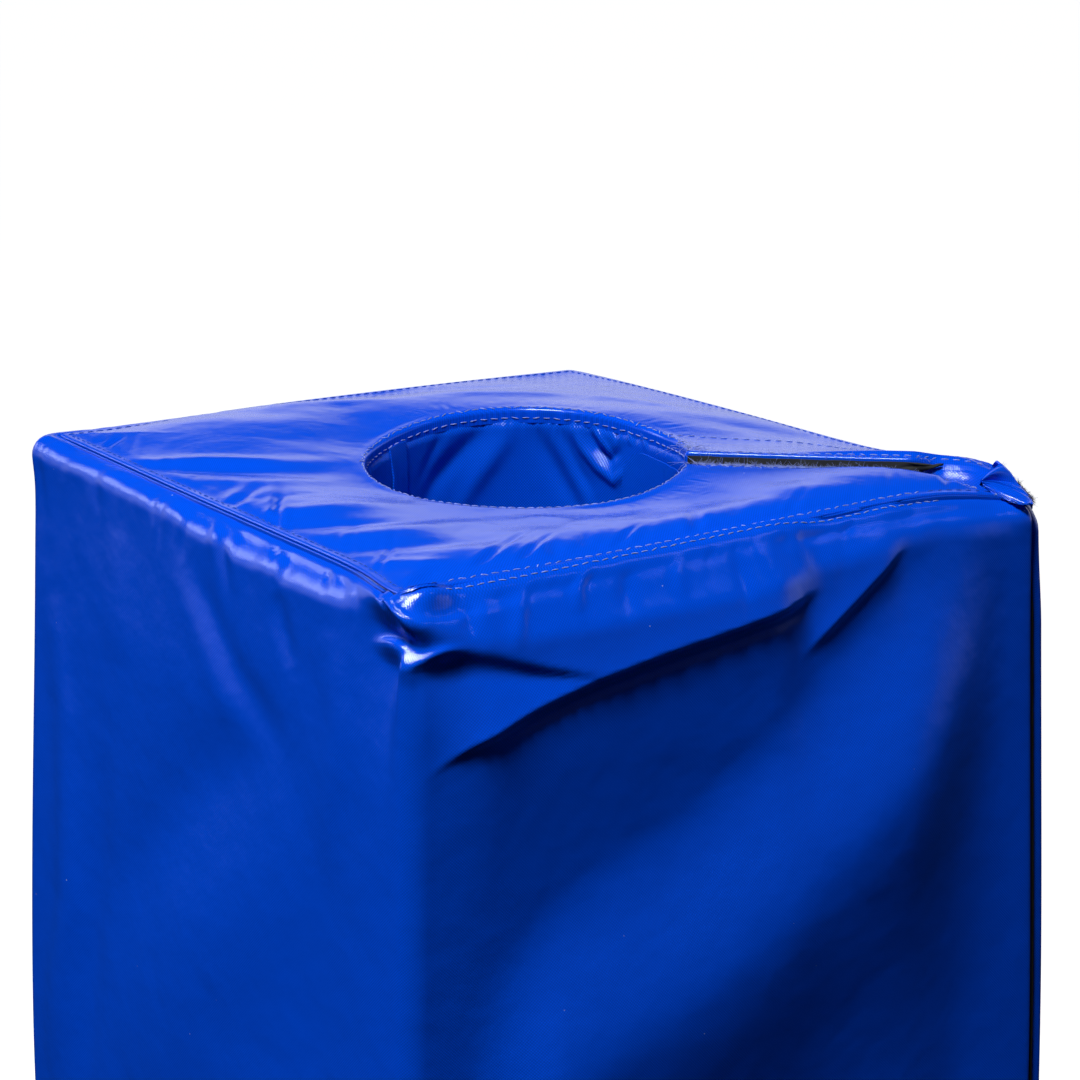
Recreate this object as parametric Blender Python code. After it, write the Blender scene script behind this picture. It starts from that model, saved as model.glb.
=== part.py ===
"""Square goal-post pad: foam in a coated-fabric cover, with a round bore for the post.

The pad opens along a slit from the bore to one corner, and flexes at the opposite corner.
Plan positions are (along, across). Along runs from the flexing corner through the bore to the
slit corner, and across runs from the front corner to the back corner. Sizes are in metres,
+Z is up, and the origin is under the middle of the pad at its foot.
"""

import math

import bpy
import numpy as np

# Overall sizes
PAD_WIDTH = 0.305
PAD_HEIGHT = 1.830
BORE_RADIUS = 0.0665
BORE_SHIFT = 0.004

# Coated fabric, fastening tape and the gap between pieces that touch
FABRIC = 0.0008
CLEARANCE = 0.0003
TAPE_THICKNESS = 0.0014
TAPE_WIDTH = 0.038
TAPE_MARGIN = 0.0015

# Rounded edges of the filled cover
SHOULDER_RADIUS = 0.010
CORNER_RADIUS = 0.008
NOSE_RADIUS = 0.003
SEAM_SHARPNESS = 0.9

# Half-width of the strip between bore and corner that flexes when the pad opens
FLEX_HALF_WIDTH = 0.060

# Flap over the slit and lap of the liner, inside the bore
FLAP_WIDTH = 0.064
FLAP_DROP = 0.010
FLAP_CORNER = 0.014
LAP_WIDTH = 0.012
LAP_ANGLE = math.radians(149.5)

# Bunched fabric over the slit corner of the rear half
FOLD_LENGTH = 0.030
FOLD_WIDTH = 0.020
FOLD_HEIGHT = 0.0035
FOLD_COUNT = 3
FOLD_SLANT = 0.35

# How far the filled cover moves from a true block, corner by corner: x, y and z
TOP_PULL = {
    "front": (-0.0033, 0.0004, -0.0034),
    "slit": (-0.0013, -0.0016, 0.0020),
    "flex": (0.0062, -0.0036, 0.0054),
    "back": (-0.0083, 0.0045, 0.0003),
}
BODY_PULL = {
    "front": (-0.0058, 0.0023, 0.0),
    "slit": (0.0040, -0.0060, 0.0),
    "flex": (-0.0023, 0.0007, 0.0),
    "back": (0.0017, 0.0050, 0.0),
}
TOP_REACH = 0.280
FOOT_REACH = 0.200

# Crown of the sides and of the top
SIDE_CROWN = 0.003
SIDE_CROWN_REACH = 0.080
REAR_RIM_LIFT = 0.0115
FRONT_RIM_SAG = 0.0038
SLIT_LIFT = {"front": 0.0020, "flex": 0.0, "rear": 0.0060}
SLIT_LIFT_REACH = 0.035
REAR_EDGE_DROP = 0.004
CORNER_DROP = 0.011
CORNER_DROP_REACH = 0.040
REAR_TIP_REACH = 0.0045
REAR_TIP_SPREAD = 0.050
LIFT_DEPTH = 0.120

# Main folds of the right face: x and depth below the top at both ends, depth and half-width
FACE_FOLDS = (
    ((-0.150, 0.030), (-0.078, 0.043), 0.0065, 0.010),
    ((-0.143, 0.064), (-0.024, 0.043), 0.0060, 0.011),
    ((-0.024, 0.043), (0.077, 0.022), 0.0040, 0.012),
    ((-0.150, 0.150), (0.110, 0.075), 0.0030, 0.022),
    ((-0.050, 0.210), (0.145, 0.095), 0.0035, 0.024),
)
FOLD_REACH = 0.045

# Grid counts
NOSE_STEPS = 2
FACE_STEPS = {"front": 13, "rear": 8}
CORNER_STEPS = 3
SHORT_FACE_STEPS = 5
FLEX_FACE_STEPS = 6
PANEL_STEPS = 5
SHOULDER_STEPS = 3
LINER_STEPS = 12
TOP_LEVELS = 7
FOOT_LEVELS = 2
LEVEL_GROWTH = 1.5
ROW_GROWTH = 1.5

# Colours: red, green, blue, then roughness
COVER_FINISH = ((0.004, 0.045, 0.42), 0.22)
LINER_FINISH = ((0.004, 0.030, 0.30), 0.28)
HOOK_FINISH = ((0.012, 0.012, 0.013), 0.75)
LOOP_FINISH = ((0.018, 0.018, 0.020), 0.95)
FOAM_FINISH = ((0.62, 0.60, 0.55), 0.90)

# Sizes that follow from the ones above
ROOT2 = math.sqrt(2.0)
HALF_WIDTH = PAD_WIDTH / 2
BACKING = FABRIC + CLEARANCE
SLIT_HALF_GAP = CLEARANCE / 2 + TAPE_THICKNESS + CLEARANCE
FLEX_EDGE = FLEX_HALF_WIDTH + CLEARANCE / 2
SLIT_CORNER = ROOT2 * HALF_WIDTH
LINER_INNER = BORE_RADIUS * math.cos(math.pi / 3 / LINER_STEPS) - CLEARANCE


def ease(value):
    """Runs from 0 to 1 with level ends, and stays there outside."""
    t = np.clip(value, 0.0, 1.0)
    return t * t * (3.0 - 2.0 * t)


def corner_pull(pulls, u, v):
    """Blends the four corners' moves over the plan; u and v run from -1 to 1 along x and y."""
    weights = {
        "front": (1 - u) * (1 - v) / 4,
        "slit": (1 + u) * (1 - v) / 4,
        "flex": (1 - u) * (1 + v) / 4,
        "back": (1 + u) * (1 + v) / 4,
    }
    return sum(weights[name][..., None] * np.array(pulls[name]) for name in pulls)


def top_lift(x, y, half):
    """Height that the top stands above or below a flat face: raised behind the bore, sunk before it."""
    along = (x - y) / ROOT2 - BORE_SHIFT
    across = (x + y) / ROOT2
    bump = (1 - (x / HALF_WIDTH) ** 2) * (1 - (y / HALF_WIDTH) ** 2)
    rear = ease(across / (1.3 * BORE_RADIUS))
    front = ease(-across / BORE_RADIUS)
    near_slit = np.exp(-((across / SLIT_LIFT_REACH) ** 2))
    lift = (REAR_RIM_LIFT * rear - FRONT_RIM_SAG * front) * bump
    lift = lift + SLIT_LIFT[half] * ease(2 * along / BORE_RADIUS - 1) * near_slit
    if half == "rear":
        lift = lift - REAR_EDGE_DROP * ease(along / SLIT_CORNER * 1.3) * (1 - near_slit)
    tip = np.hypot(along + BORE_SHIFT - SLIT_CORNER, across) / CORNER_DROP_REACH
    return lift - CORNER_DROP * np.exp(-(tip**2))


def face_fold_depth(x, below):
    """How deep the right face is creased at x and at a depth below the top."""
    total = np.zeros_like(x)
    for start, end, depth, half_width in FACE_FOLDS:
        run = np.subtract(end, start)
        share = ((x - start[0]) * run[0] + (below - start[1]) * run[1]) / (run @ run)
        share = np.clip(share, 0.0, 1.0)
        gap = np.hypot(x - start[0] - share * run[0], below - start[1] - share * run[1])
        total = total + depth * np.exp(-((gap / half_width) ** 2))
    return total


def settle(points, half):
    """Moves the points of a true block to where the filled cover really sits."""
    x, y, z = np.moveaxis(points, -1, 0)
    below = PAD_HEIGHT - z
    top = ease(1 - below / TOP_REACH)
    body = (1 - top) * ease(z / FOOT_REACH)
    u, v = x / HALF_WIDTH, y / HALF_WIDTH
    moved = points + top[..., None] * corner_pull(TOP_PULL, u, v)
    moved = moved + body[..., None] * corner_pull(BODY_PULL, u, v)
    crown = SIDE_CROWN * ease(below / SIDE_CROWN_REACH) * ease(z / SIDE_CROWN_REACH)
    moved[..., 0] += crown * u * (1 - v**2)
    moved[..., 1] += crown * v * (1 - u**2)
    near_face = ease(1 - (y + HALF_WIDTH) / FOLD_REACH) * ease(-(x + y) / FOLD_REACH)
    moved[..., 1] += face_fold_depth(x, below) * near_face
    moved[..., 2] += top_lift(x, y, half) * ease(1 - below / LIFT_DEPTH)
    if half == "rear":
        tip = np.hypot(x - HALF_WIDTH, y + HALF_WIDTH) / REAR_TIP_SPREAD
        moved[..., :2] += REAR_TIP_REACH * np.exp(-(tip**2))[..., None] * np.array([1, -1]) / ROOT2
    return moved


def world(along, across, height, half):
    """Turns plan positions and heights into settled world points."""
    along, across, height = np.broadcast_arrays(along, across, height)
    flat = np.stack([(along + across) / ROOT2, (across - along) / ROOT2, height], axis=-1)
    return settle(flat, half)


def straight_levels():
    """Heights between the shoulders: even near the foot, one midway, and closer towards the top."""
    foot = np.linspace(SHOULDER_RADIUS, FOOT_REACH, FOOT_LEVELS + 1)[1:]
    spread = (np.arange(TOP_LEVELS, 0, -1) / TOP_LEVELS) ** LEVEL_GROWTH
    top = PAD_HEIGHT - SHOULDER_RADIUS - (TOP_REACH - SHOULDER_RADIUS) * spread
    return np.concatenate([foot, [(foot[-1] + top[0]) / 2], top])


def edge_levels():
    """Inset, height, outward share and upward share of the outer surface, from foot to top."""
    turn = np.linspace(0.0, math.pi / 2, SHOULDER_STEPS + 1)
    straight = straight_levels()
    inset = SHOULDER_RADIUS * (1 - np.cos(turn))
    rise = SHOULDER_RADIUS * np.sin(turn)
    level = np.zeros_like(straight)
    return (
        np.concatenate([inset[::-1], level, inset]),
        np.concatenate([(SHOULDER_RADIUS - rise)[::-1], straight, PAD_HEIGHT - SHOULDER_RADIUS + rise]),
        np.concatenate([np.cos(turn)[::-1], level + 1, np.cos(turn)]),
        np.concatenate([-np.sin(turn)[::-1], level, np.sin(turn)]),
    )


def arc(centre_along, centre_across, radius, start, end, steps):
    """Points of an arc in plan for every level: (steps + 1, levels)."""
    angle = np.linspace(start, end, steps + 1)[:, None]
    return centre_along + radius * np.cos(angle), centre_across + radius * np.sin(angle)


def between(first, last, steps):
    """Points strictly between two ends, for every level: (steps - 1, levels)."""
    share = (np.arange(1, steps) / steps)[:, None]
    return first + (last - first) * share


def edge_radius(nominal, inset, sunk):
    """A plan corner's radius: it tightens towards the seam, and shrinks below the surface."""
    full = nominal * (1 - SEAM_SHARPNESS * inset / SHOULDER_RADIUS)
    return np.maximum(full - sunk, FABRIC / 4)


def half_outline(inset, sunk, slit_gap, face_steps):
    """One half's outer edge, from the slit round the outer corner to the flex line."""
    offset = inset + sunk
    nose = edge_radius(NOSE_RADIUS, inset, sunk)
    corner = edge_radius(CORNER_RADIUS, inset, sunk)
    nose_across = slit_gap + nose
    nose_along = ROOT2 * (HALF_WIDTH - offset - nose) - nose_across
    corner_across = ROOT2 * (HALF_WIDTH - offset - corner)
    eighth = math.pi / 4
    nose_arc = arc(nose_along, nose_across, nose, -2 * eighth, eighth, NOSE_STEPS)
    corner_arc = arc(0.0, corner_across, corner, eighth, 3 * eighth, CORNER_STEPS)
    end = (FLEX_EDGE - ROOT2 * (HALF_WIDTH - offset), FLEX_EDGE + 0 * offset)
    along, across = (
        np.concatenate(
            [
                nose_arc[k],
                between(nose_arc[k][-1], corner_arc[k][0], face_steps),
                corner_arc[k],
                between(corner_arc[k][-1], end[k], SHORT_FACE_STEPS),
                end[k][None, :],
            ]
        )
        for k in (0, 1)
    )
    return along, across


def flex_outline(inset, sunk):
    """The flexing strip's outer edge, from the front flex line round its corner to the rear one."""
    offset = inset + sunk
    corner = edge_radius(CORNER_RADIUS, inset, sunk)
    edge = FLEX_EDGE - CLEARANCE
    eighth = math.pi / 4
    centre = -ROOT2 * (HALF_WIDTH - offset - corner)
    corner_arc = arc(centre, 0.0 * offset, corner, 5 * eighth, 3 * eighth, CORNER_STEPS)
    start = (edge - ROOT2 * (HALF_WIDTH - offset), -edge + 0 * offset)
    end = (start[0], edge + 0 * offset)
    along, across = (
        np.concatenate(
            [
                start[k][None, :],
                between(start[k], corner_arc[k][0], FLEX_FACE_STEPS),
                corner_arc[k],
                between(corner_arc[k][-1], end[k], FLEX_FACE_STEPS),
                end[k][None, :],
            ]
        )
        for k in (0, 1)
    )
    return along, across


def outline(half, inset, sunk, slit_gap):
    """The outer edge of a half or of the flexing strip; the rear half mirrors the front one."""
    inset, sunk = np.broadcast_arrays(np.atleast_1d(inset), np.atleast_1d(sunk))
    if half == "flex":
        return flex_outline(inset, sunk)
    along, across = half_outline(inset, sunk, slit_gap, FACE_STEPS[half])
    return along, across if half == "rear" else -across


def bore_limits(half, radius, slit_gap):
    """First and last angle of a region's share of the bore, measured from the slit."""
    slit = np.arcsin(slit_gap / radius)
    if half == "flex":
        turn = math.pi - np.arcsin((FLEX_EDGE - CLEARANCE) / radius)
        return -turn, turn - 2 * math.pi
    flex = math.pi - np.arcsin(FLEX_EDGE / radius)
    return (slit, flex) if half == "rear" else (-slit, -flex)


def bore_edge(half, columns, radius, slit_gap):
    """Points on the bore for the outline's columns, at even angles between the region's limits."""
    start, end = bore_limits(half, radius, slit_gap)
    turn = np.linspace(start, end, columns)[:, None]
    return BORE_SHIFT + radius * np.cos(turn), radius * np.sin(turn)


def row_shares(steps):
    """Shares of the way from the bore to the outer edge, closer together at the bore."""
    return (np.arange(steps + 1) / steps) ** ROW_GROWTH


def grid_faces(index):
    """Two triangles for each cell of a grid of vertex numbers, cut along the same diagonal."""
    a, b = index[:-1, :-1].ravel(), index[1:, :-1].ravel()
    c, d = index[1:, 1:].ravel(), index[:-1, 1:].ravel()
    return np.concatenate([np.stack([a, b, c], 1), np.stack([a, c, d], 1)])


def block_triangles(shape):
    """The six sides of a block of points, all facing out when the block's axes are right-handed."""
    index = np.arange(np.prod(shape)).reshape(shape)
    sides = [
        grid_faces(index[:, :, -1]),
        grid_faces(index[:, :, 0])[:, ::-1],
        grid_faces(index[-1]),
        grid_faces(index[0])[:, ::-1],
        grid_faces(index[:, 0, :]),
        grid_faces(index[:, -1, :])[:, ::-1],
    ]
    return np.concatenate(sides)


def signed_volume(points, triangles):
    """Volume inside closed triangles, negative when they face inwards."""
    a, b, c = (points[triangles[:, k]] for k in (0, 1, 2))
    return np.einsum("ij,ij->", a, np.cross(b, c)) / 6


def material(name, finish):
    """A plain shader with the piece's colour and roughness."""
    colour, roughness = finish
    made = bpy.data.materials.new(name)
    made.use_nodes = True
    shader = made.node_tree.nodes["Principled BSDF"]
    shader.inputs["Base Color"].default_value = (*colour, 1.0)
    shader.inputs["Roughness"].default_value = roughness
    shader.inputs["Metallic"].default_value = 0.0
    return made


def add_block(name, points, finish, parent=None):
    """Makes one closed solid from a block of points: (columns, rows, levels, 3)."""
    triangles = block_triangles(points.shape[:3])
    points = points.reshape(-1, 3)
    used, triangles = np.unique(triangles, return_inverse=True)
    triangles = triangles.reshape(-1, 3)
    points = points[used]
    if signed_volume(points, triangles) < 0:
        triangles = triangles[:, ::-1]
    shift = np.array(parent.location) if parent else np.zeros(3)
    mesh = bpy.data.meshes.new(name)
    mesh.from_pydata((points - shift).tolist(), [], triangles.tolist())
    mesh.update()
    mesh.shade_smooth()
    mesh.set_sharp_from_angle(angle=math.radians(40))
    mesh.materials.append(material(name, finish))
    made = bpy.data.objects.new(name, mesh)
    bpy.context.scene.collection.objects.link(made)
    made.parent = parent
    return made


def add_hinge_axis():
    """An empty on the axis that the rear half turns about, at the bore's end next to the flex corner."""
    along = BORE_SHIFT - BORE_RADIUS
    axis = bpy.data.objects.new("opening_axis", None)
    axis.location = (along / ROOT2, -along / ROOT2, 0.0)
    bpy.context.scene.collection.objects.link(axis)
    return axis


def add_foam(name, half, parent):
    """Foam block: it fills the cover, and is cut away for the bore and along the slit."""
    inset, height, out, up = edge_levels()
    sunk = BACKING * out
    slit_gap = SLIT_HALF_GAP + BACKING
    along, across = outline(half, inset, sunk, slit_gap)
    radius = BORE_RADIUS + BACKING
    bore_along, bore_across = bore_edge(half, len(along), radius, slit_gap)
    share = row_shares(PANEL_STEPS)[None, :, None]
    points = world(
        bore_along[:, None] + (along - bore_along)[:, None] * share,
        bore_across[:, None] + (across - bore_across)[:, None] * share,
        height - BACKING * up,
        half,
    )
    add_block(name, points, FOAM_FINISH, parent)


def add_wall_cover(name, half, parent):
    """Cover of the side faces, rolled over the shoulders to the seams of the end panels."""
    inset, height, out, up = edge_levels()
    layers = [
        world(*outline(half, inset, depth * out, SLIT_HALF_GAP + depth * out), height - depth * up, half)
        for depth in (FABRIC, 0.0)
    ]
    add_block(name, np.stack(layers, axis=1), COVER_FINISH, parent)


def add_end_panel(name, half, low, steps, parent):
    """Flat fabric panel of the top or the foot, from the bore's rim to the shoulder's seam."""
    along, across = outline(half, SHOULDER_RADIUS + CLEARANCE, 0.0, SLIT_HALF_GAP)
    rim_along, rim_across = bore_edge(half, len(along), BORE_RADIUS, SLIT_HALF_GAP)
    share = row_shares(steps)[None, :, None]
    height = np.array([low, low + FABRIC])
    points = world(
        rim_along[:, None] + (along - rim_along)[:, None] * share,
        rim_across[:, None] + (across - rim_across)[:, None] * share,
        height,
        half,
    )
    add_block(name, points, COVER_FINISH, parent)


def wall_heights():
    """Heights of the pieces that stand between the end panels."""
    return np.concatenate([[BACKING], straight_levels(), [PAD_HEIGHT - BACKING]])


def bore_sheet(half, radii, start, end, height, steps):
    """Sheet bent round the bore between two angles, for each of its two radii."""
    layers = []
    for radius, first, last in zip(radii, start, end):
        turn = np.linspace(first, last, steps + 1)[:, None]
        layers.append(world(BORE_SHIFT + radius * np.cos(turn), radius * np.sin(turn), height, half))
    return np.stack(layers, axis=1)


def add_liner(name, half, parent):
    """The bore's fabric lining."""
    radii = (BORE_RADIUS, BORE_RADIUS + FABRIC)
    limits = [bore_limits(half, radius, SLIT_HALF_GAP) for radius in radii]
    start, end = zip(*limits)
    points = bore_sheet(half, radii, start, end, wall_heights(), LINER_STEPS)
    add_block(name, points, LINER_FINISH, parent)


def slit_wall_end(inset):
    """Along-position where a slit wall meets the rounded edge of the side cover."""
    nose = edge_radius(NOSE_RADIUS, inset, 0.0)
    return ROOT2 * (HALF_WIDTH - inset - nose) - SLIT_HALF_GAP - nose - CLEARANCE


def add_slit_wall(name, half, parent):
    """Fabric that faces the foam inside the slit."""
    inset, height, _, up = edge_levels()
    height = height - BACKING * up
    end = slit_wall_end(inset)
    share = row_shares(PANEL_STEPS)[:, None]
    side = 1 if half == "rear" else -1
    layers = []
    for gap in (SLIT_HALF_GAP, SLIT_HALF_GAP + FABRIC):
        start = BORE_SHIFT + math.sqrt((BORE_RADIUS + BACKING) ** 2 - gap**2)
        layers.append(world(start + (end - start) * share, side * gap, height, half))
    add_block(name, np.stack(layers, axis=1), COVER_FINISH, parent)


def add_tape(name, half, along, height, finish, parent):
    """A strip of fastening tape on the slit wall, given by its ends along the slit and its heights."""
    side = 1 if half == "rear" else -1
    face = CLEARANCE / 2
    layers = [
        world(along[:, None], side * across, height, half) for across in (face, face + TAPE_THICKNESS)
    ]
    add_block(name, np.stack(layers, axis=1), finish, parent)


def add_tapes(kind, half, finish, parent):
    """Tape along the top, the outer edge and the foot of one slit wall."""
    edge = slit_wall_end(0.0) - TAPE_MARGIN
    turn = edge - TAPE_WIDTH
    start = BORE_SHIFT + BORE_RADIUS + BACKING + TAPE_MARGIN
    low, high = BACKING + TAPE_MARGIN, PAD_HEIGHT - BACKING - TAPE_MARGIN - SHOULDER_RADIUS
    run = np.linspace(start, turn - CLEARANCE, PANEL_STEPS)
    upright = np.linspace(turn, edge, 3)
    standing = wall_heights()[1:-1]
    standing = np.concatenate([[low + SHOULDER_RADIUS], standing[standing < high], [high]])
    top = PAD_HEIGHT - BACKING - TAPE_MARGIN
    add_tape(kind + "_tape_top", half, run, np.linspace(top - TAPE_WIDTH, top, 3), finish, parent)
    add_tape(kind + "_tape_edge", half, upright, standing, finish, parent)
    add_tape(kind + "_tape_bottom", half, run, np.array([low, low + TAPE_WIDTH]), finish, parent)


def add_bore_flap(parent):
    """Flap beside the slit inside the bore, with one rounded corner at its top."""
    radii = (LINER_INNER - FABRIC, LINER_INNER)
    start = [math.asin(SLIT_HALF_GAP / radius) for radius in radii]
    end = [FLAP_WIDTH / radius for radius in radii]
    steps = LINER_STEPS // 2
    reach = np.linspace(0.0, FLAP_WIDTH, steps + 1)[:, None]
    bend = np.clip((reach - FLAP_WIDTH + FLAP_CORNER) / FLAP_CORNER, 0.0, 1.0)
    top = PAD_HEIGHT - FLAP_DROP - FLAP_CORNER * (1 - np.sqrt(1 - bend**2))
    low = BACKING + FLAP_DROP
    height = low + (top - low) * (wall_heights() - BACKING) / (PAD_HEIGHT - 2 * BACKING)
    add_block("bore_flap", bore_sheet("rear", radii, start, end, height, steps), LINER_FINISH, parent)


def add_liner_lap():
    """Strip where one end of the liner laps over the other."""
    radii = (LINER_INNER - FABRIC, LINER_INNER)
    start = [LAP_ANGLE] * 2
    end = [LAP_ANGLE + LAP_WIDTH / radius for radius in radii]
    points = bore_sheet("flex", radii, start, end, wall_heights(), 2)
    add_block("liner_lap", points, LINER_FINISH)


def shoulder_drop(along, across):
    """Depth of the rounded shoulder below the top, at plan positions next to the slit corner."""
    inset = HALF_WIDTH - np.maximum(along + across, along - across) / ROOT2
    short = np.clip(SHOULDER_RADIUS - inset, 0.0, SHOULDER_RADIUS)
    return SHOULDER_RADIUS - np.sqrt(SHOULDER_RADIUS**2 - short**2)


def add_corner_fold(parent):
    """Bunched fabric over the rear half's slit corner: slanting folds that lie on the top panel and
    follow the shoulder down to the tip."""
    run = np.linspace(0.0, 1.0, 4 * FOLD_COUNT + 1)[:, None, None]
    width = np.linspace(0.0, 1.0, 9)[None, :, None]
    along = slit_wall_end(0.0) - FOLD_LENGTH * (1 - run)
    reach = np.minimum(FOLD_WIDTH, SLIT_CORNER - along - SLIT_HALF_GAP - NOSE_RADIUS)
    across = SLIT_HALF_GAP + reach * width
    edge = np.sin(math.pi * run) ** 0.5 * np.sin(math.pi * width) ** 0.5
    ripple = 0.6 + 0.4 * np.cos(2 * math.pi * FOLD_COUNT * (run - FOLD_SLANT * width))
    rest = PAD_HEIGHT + 2 * CLEARANCE - shoulder_drop(along, across)
    height = rest + np.concatenate([0 * edge, FABRIC + FOLD_HEIGHT * edge * ripple], axis=2)
    add_block("corner_fold", world(along, across, height, "rear"), COVER_FINISH, parent)


def add_half(half, tape_kind, tape_finish, parent=None):
    """All the pieces of the front or the rear half."""
    add_foam("foam_core_" + half, half, parent)
    add_wall_cover("wall_cover_" + half, half, parent)
    add_end_panel("top_panel_" + half, half, PAD_HEIGHT - FABRIC, PANEL_STEPS, parent)
    add_end_panel("bottom_panel_" + half, half, 0.0, 1, parent)
    add_liner("liner_" + half, half, parent)
    add_slit_wall("slit_wall_" + half, half, parent)
    add_tapes(tape_kind, half, tape_finish, parent)


def add_flex_strip():
    """The pieces that bend where the pad opens."""
    add_foam("foam_flex_web", "flex", None)
    add_wall_cover("wall_cover_flex", "flex", None)
    add_end_panel("top_panel_flex", "flex", PAD_HEIGHT - FABRIC, PANEL_STEPS, None)
    add_end_panel("bottom_panel_flex", "flex", 0.0, 1, None)
    add_liner("liner_flex", "flex", None)
    add_liner_lap()


def main():
    """Clears the scene and builds the pad."""
    for item in list(bpy.data.objects):
        bpy.data.objects.remove(item, do_unlink=True)
    axis = add_hinge_axis()
    add_half("front", "hook", HOOK_FINISH)
    add_flex_strip()
    add_half("rear", "loop", LOOP_FINISH, axis)
    add_bore_flap(axis)
    add_corner_fold(axis)


main()
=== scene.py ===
"""Looks of a square goal-post pad: foam in a glossy coated-fabric cover, slit to one corner.

Plan positions are (along, across). Along runs from the flexing corner through the bore to the
slit corner, and across runs from the front corner to the back corner. Round the side cover a
place is given by its girth, in metres from the front corner (more towards the slit corner), and
by its depth below the top. Every piece is a grid of points worked out with numpy.
"""

import math

import bpy
import numpy as np
from mathutils import Matrix, Vector

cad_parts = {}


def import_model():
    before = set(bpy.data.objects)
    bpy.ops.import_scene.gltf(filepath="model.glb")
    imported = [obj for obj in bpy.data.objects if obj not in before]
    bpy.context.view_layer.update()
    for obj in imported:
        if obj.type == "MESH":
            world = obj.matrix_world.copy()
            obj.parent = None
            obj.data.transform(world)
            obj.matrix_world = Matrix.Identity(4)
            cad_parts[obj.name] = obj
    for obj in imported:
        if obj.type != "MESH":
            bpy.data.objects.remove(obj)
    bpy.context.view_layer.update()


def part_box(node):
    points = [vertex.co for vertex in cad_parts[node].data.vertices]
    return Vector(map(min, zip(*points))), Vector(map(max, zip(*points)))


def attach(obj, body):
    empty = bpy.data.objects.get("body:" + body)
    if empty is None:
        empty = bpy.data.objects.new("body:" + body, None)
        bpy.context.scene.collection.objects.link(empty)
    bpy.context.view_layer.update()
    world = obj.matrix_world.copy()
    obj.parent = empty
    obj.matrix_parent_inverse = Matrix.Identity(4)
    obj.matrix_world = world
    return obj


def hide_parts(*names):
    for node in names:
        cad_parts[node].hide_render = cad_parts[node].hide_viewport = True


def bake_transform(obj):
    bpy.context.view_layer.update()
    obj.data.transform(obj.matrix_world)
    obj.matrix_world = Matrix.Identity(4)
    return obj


bl_info = {
    "name": "Goal post pad",
    "version": (1, 0, 0),
    "blender": (4, 5, 0),
    "location": "3D View > Sidebar > Post pad",
    "description": "Builds the cloth, stitching, tape and foam of a square goal-post pad",
    "category": "Object",
}

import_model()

# Sizes of the pad, as in the part's source
PAD_HEIGHT = 1.830
BORE_RADIUS = 0.0665
BORE_SHIFT = 0.004
FABRIC = 0.0008
CLEARANCE = 0.0003
TAPE_THICKNESS = 0.0014
TAPE_WIDTH = 0.038
SHOULDER_RADIUS = 0.010
CORNER_RADIUS = 0.008
NOSE_RADIUS = 0.003
SEAM_SHARPNESS = 0.9
FLEX_HALF_WIDTH = 0.060
FLAP_WIDTH = 0.064
FLAP_DROP = 0.010
FLAP_CORNER = 0.014
LAP_WIDTH = 0.012
LAP_ANGLE = math.radians(149.5)

# How far the filled cover moves from a true block, as in the part's source
TOP_PULL = {
    "front": (-0.0033, 0.0004, -0.0034),
    "slit": (-0.0013, -0.0016, 0.0020),
    "flex": (0.0062, -0.0036, 0.0054),
    "back": (-0.0083, 0.0045, 0.0003),
}
BODY_PULL = {
    "front": (-0.0058, 0.0023, 0.0),
    "slit": (0.0040, -0.0060, 0.0),
    "flex": (-0.0023, 0.0007, 0.0),
    "back": (0.0017, 0.0050, 0.0),
}
TOP_REACH = 0.280
FOOT_REACH = 0.200
SIDE_CROWN = 0.003
SIDE_CROWN_REACH = 0.080
REAR_RIM_LIFT = 0.0115
FRONT_RIM_SAG = 0.0038
SLIT_LIFT = {"front": 0.0020, "flex": 0.0, "rear": 0.0060}
SLIT_LIFT_REACH = 0.035
REAR_EDGE_DROP = 0.004
CORNER_DROP = {"front": 0.011, "flex": 0.0, "rear": 0.0245}
CORNER_DROP_REACH = {"front": 0.040, "flex": 0.040, "rear": 0.018}
REAR_TIP_REACH = 0.0045
REAR_TIP_SPREAD = 0.050
REAR_TIP_SLACK = 0.4
REAR_TIP_DEPTH = 0.055
FRONT_TIP_SHIFT = (-0.0060, 0.0040)
FRONT_TIP_REACH = (0.030, 0.032)
LIFT_DEPTH = 0.120

# Pocket where the rear half's cloth bows away from the slit next to the corner
POCKET_START = 0.161
POCKET_END = 0.203
POCKET_WIDTH = 0.009
POCKET_DEPTH = 0.020
POCKET_FADE = 0.034
POCKET_SINK = 0.003
POCKET_ENDS = (0.26, 0.22)

# Rolls of the cloth where it dives into a seam, over the bore's rim and over the slit's edge, and
# how far the slit's own cloth runs on behind the flange there
SEAM_ROLL = 0.0009
SEAM_DEPTH = 0.0012
SEAM_STEP = 0.0013
BEAD_RADIUS = 0.0011
BEAD_RISE = 0.00015
RIM_ROLL = 0.0022
HEM_DEPTH = 0.0042
HEM_FADE = 0.0022
SLIT_ROLL = 0.0013
SLIT_FLANGE = 0.0030
SLIT_TUCK = 0.0012

# Height of the top's slow waves and of the hump that it rises to between the bore and the seam, how
# far that moves the streaks that cross it, as a multiple of its height, and the share that is left
# of the small folds at the rim
TOP_WAVE = 0.0007
TOP_HUMP = 0.0046
HUMP_SHIFT = 4.1
GATHER_SHARE = 0.16

# How far the foam stays below the cloth, and how deep the lining's fine rows reach
FOAM_GAP = 0.0032
BORE_FOAM_GAP = 0.0042
LINER_FINE_DEPTH = 0.066

# Heights of the lining's gathers and of its slow waves, of the lap's wave, and the flap's bow, its
# wave and how far it stays off the lining
LINER_GATHER = 0.00035
LINER_WAVE = 0.0006
LAP_WAVE = 0.0003
FLAP_BOW = 0.0009
FLAP_WAVE = 0.0006
FLAP_REST = 0.0003

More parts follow.
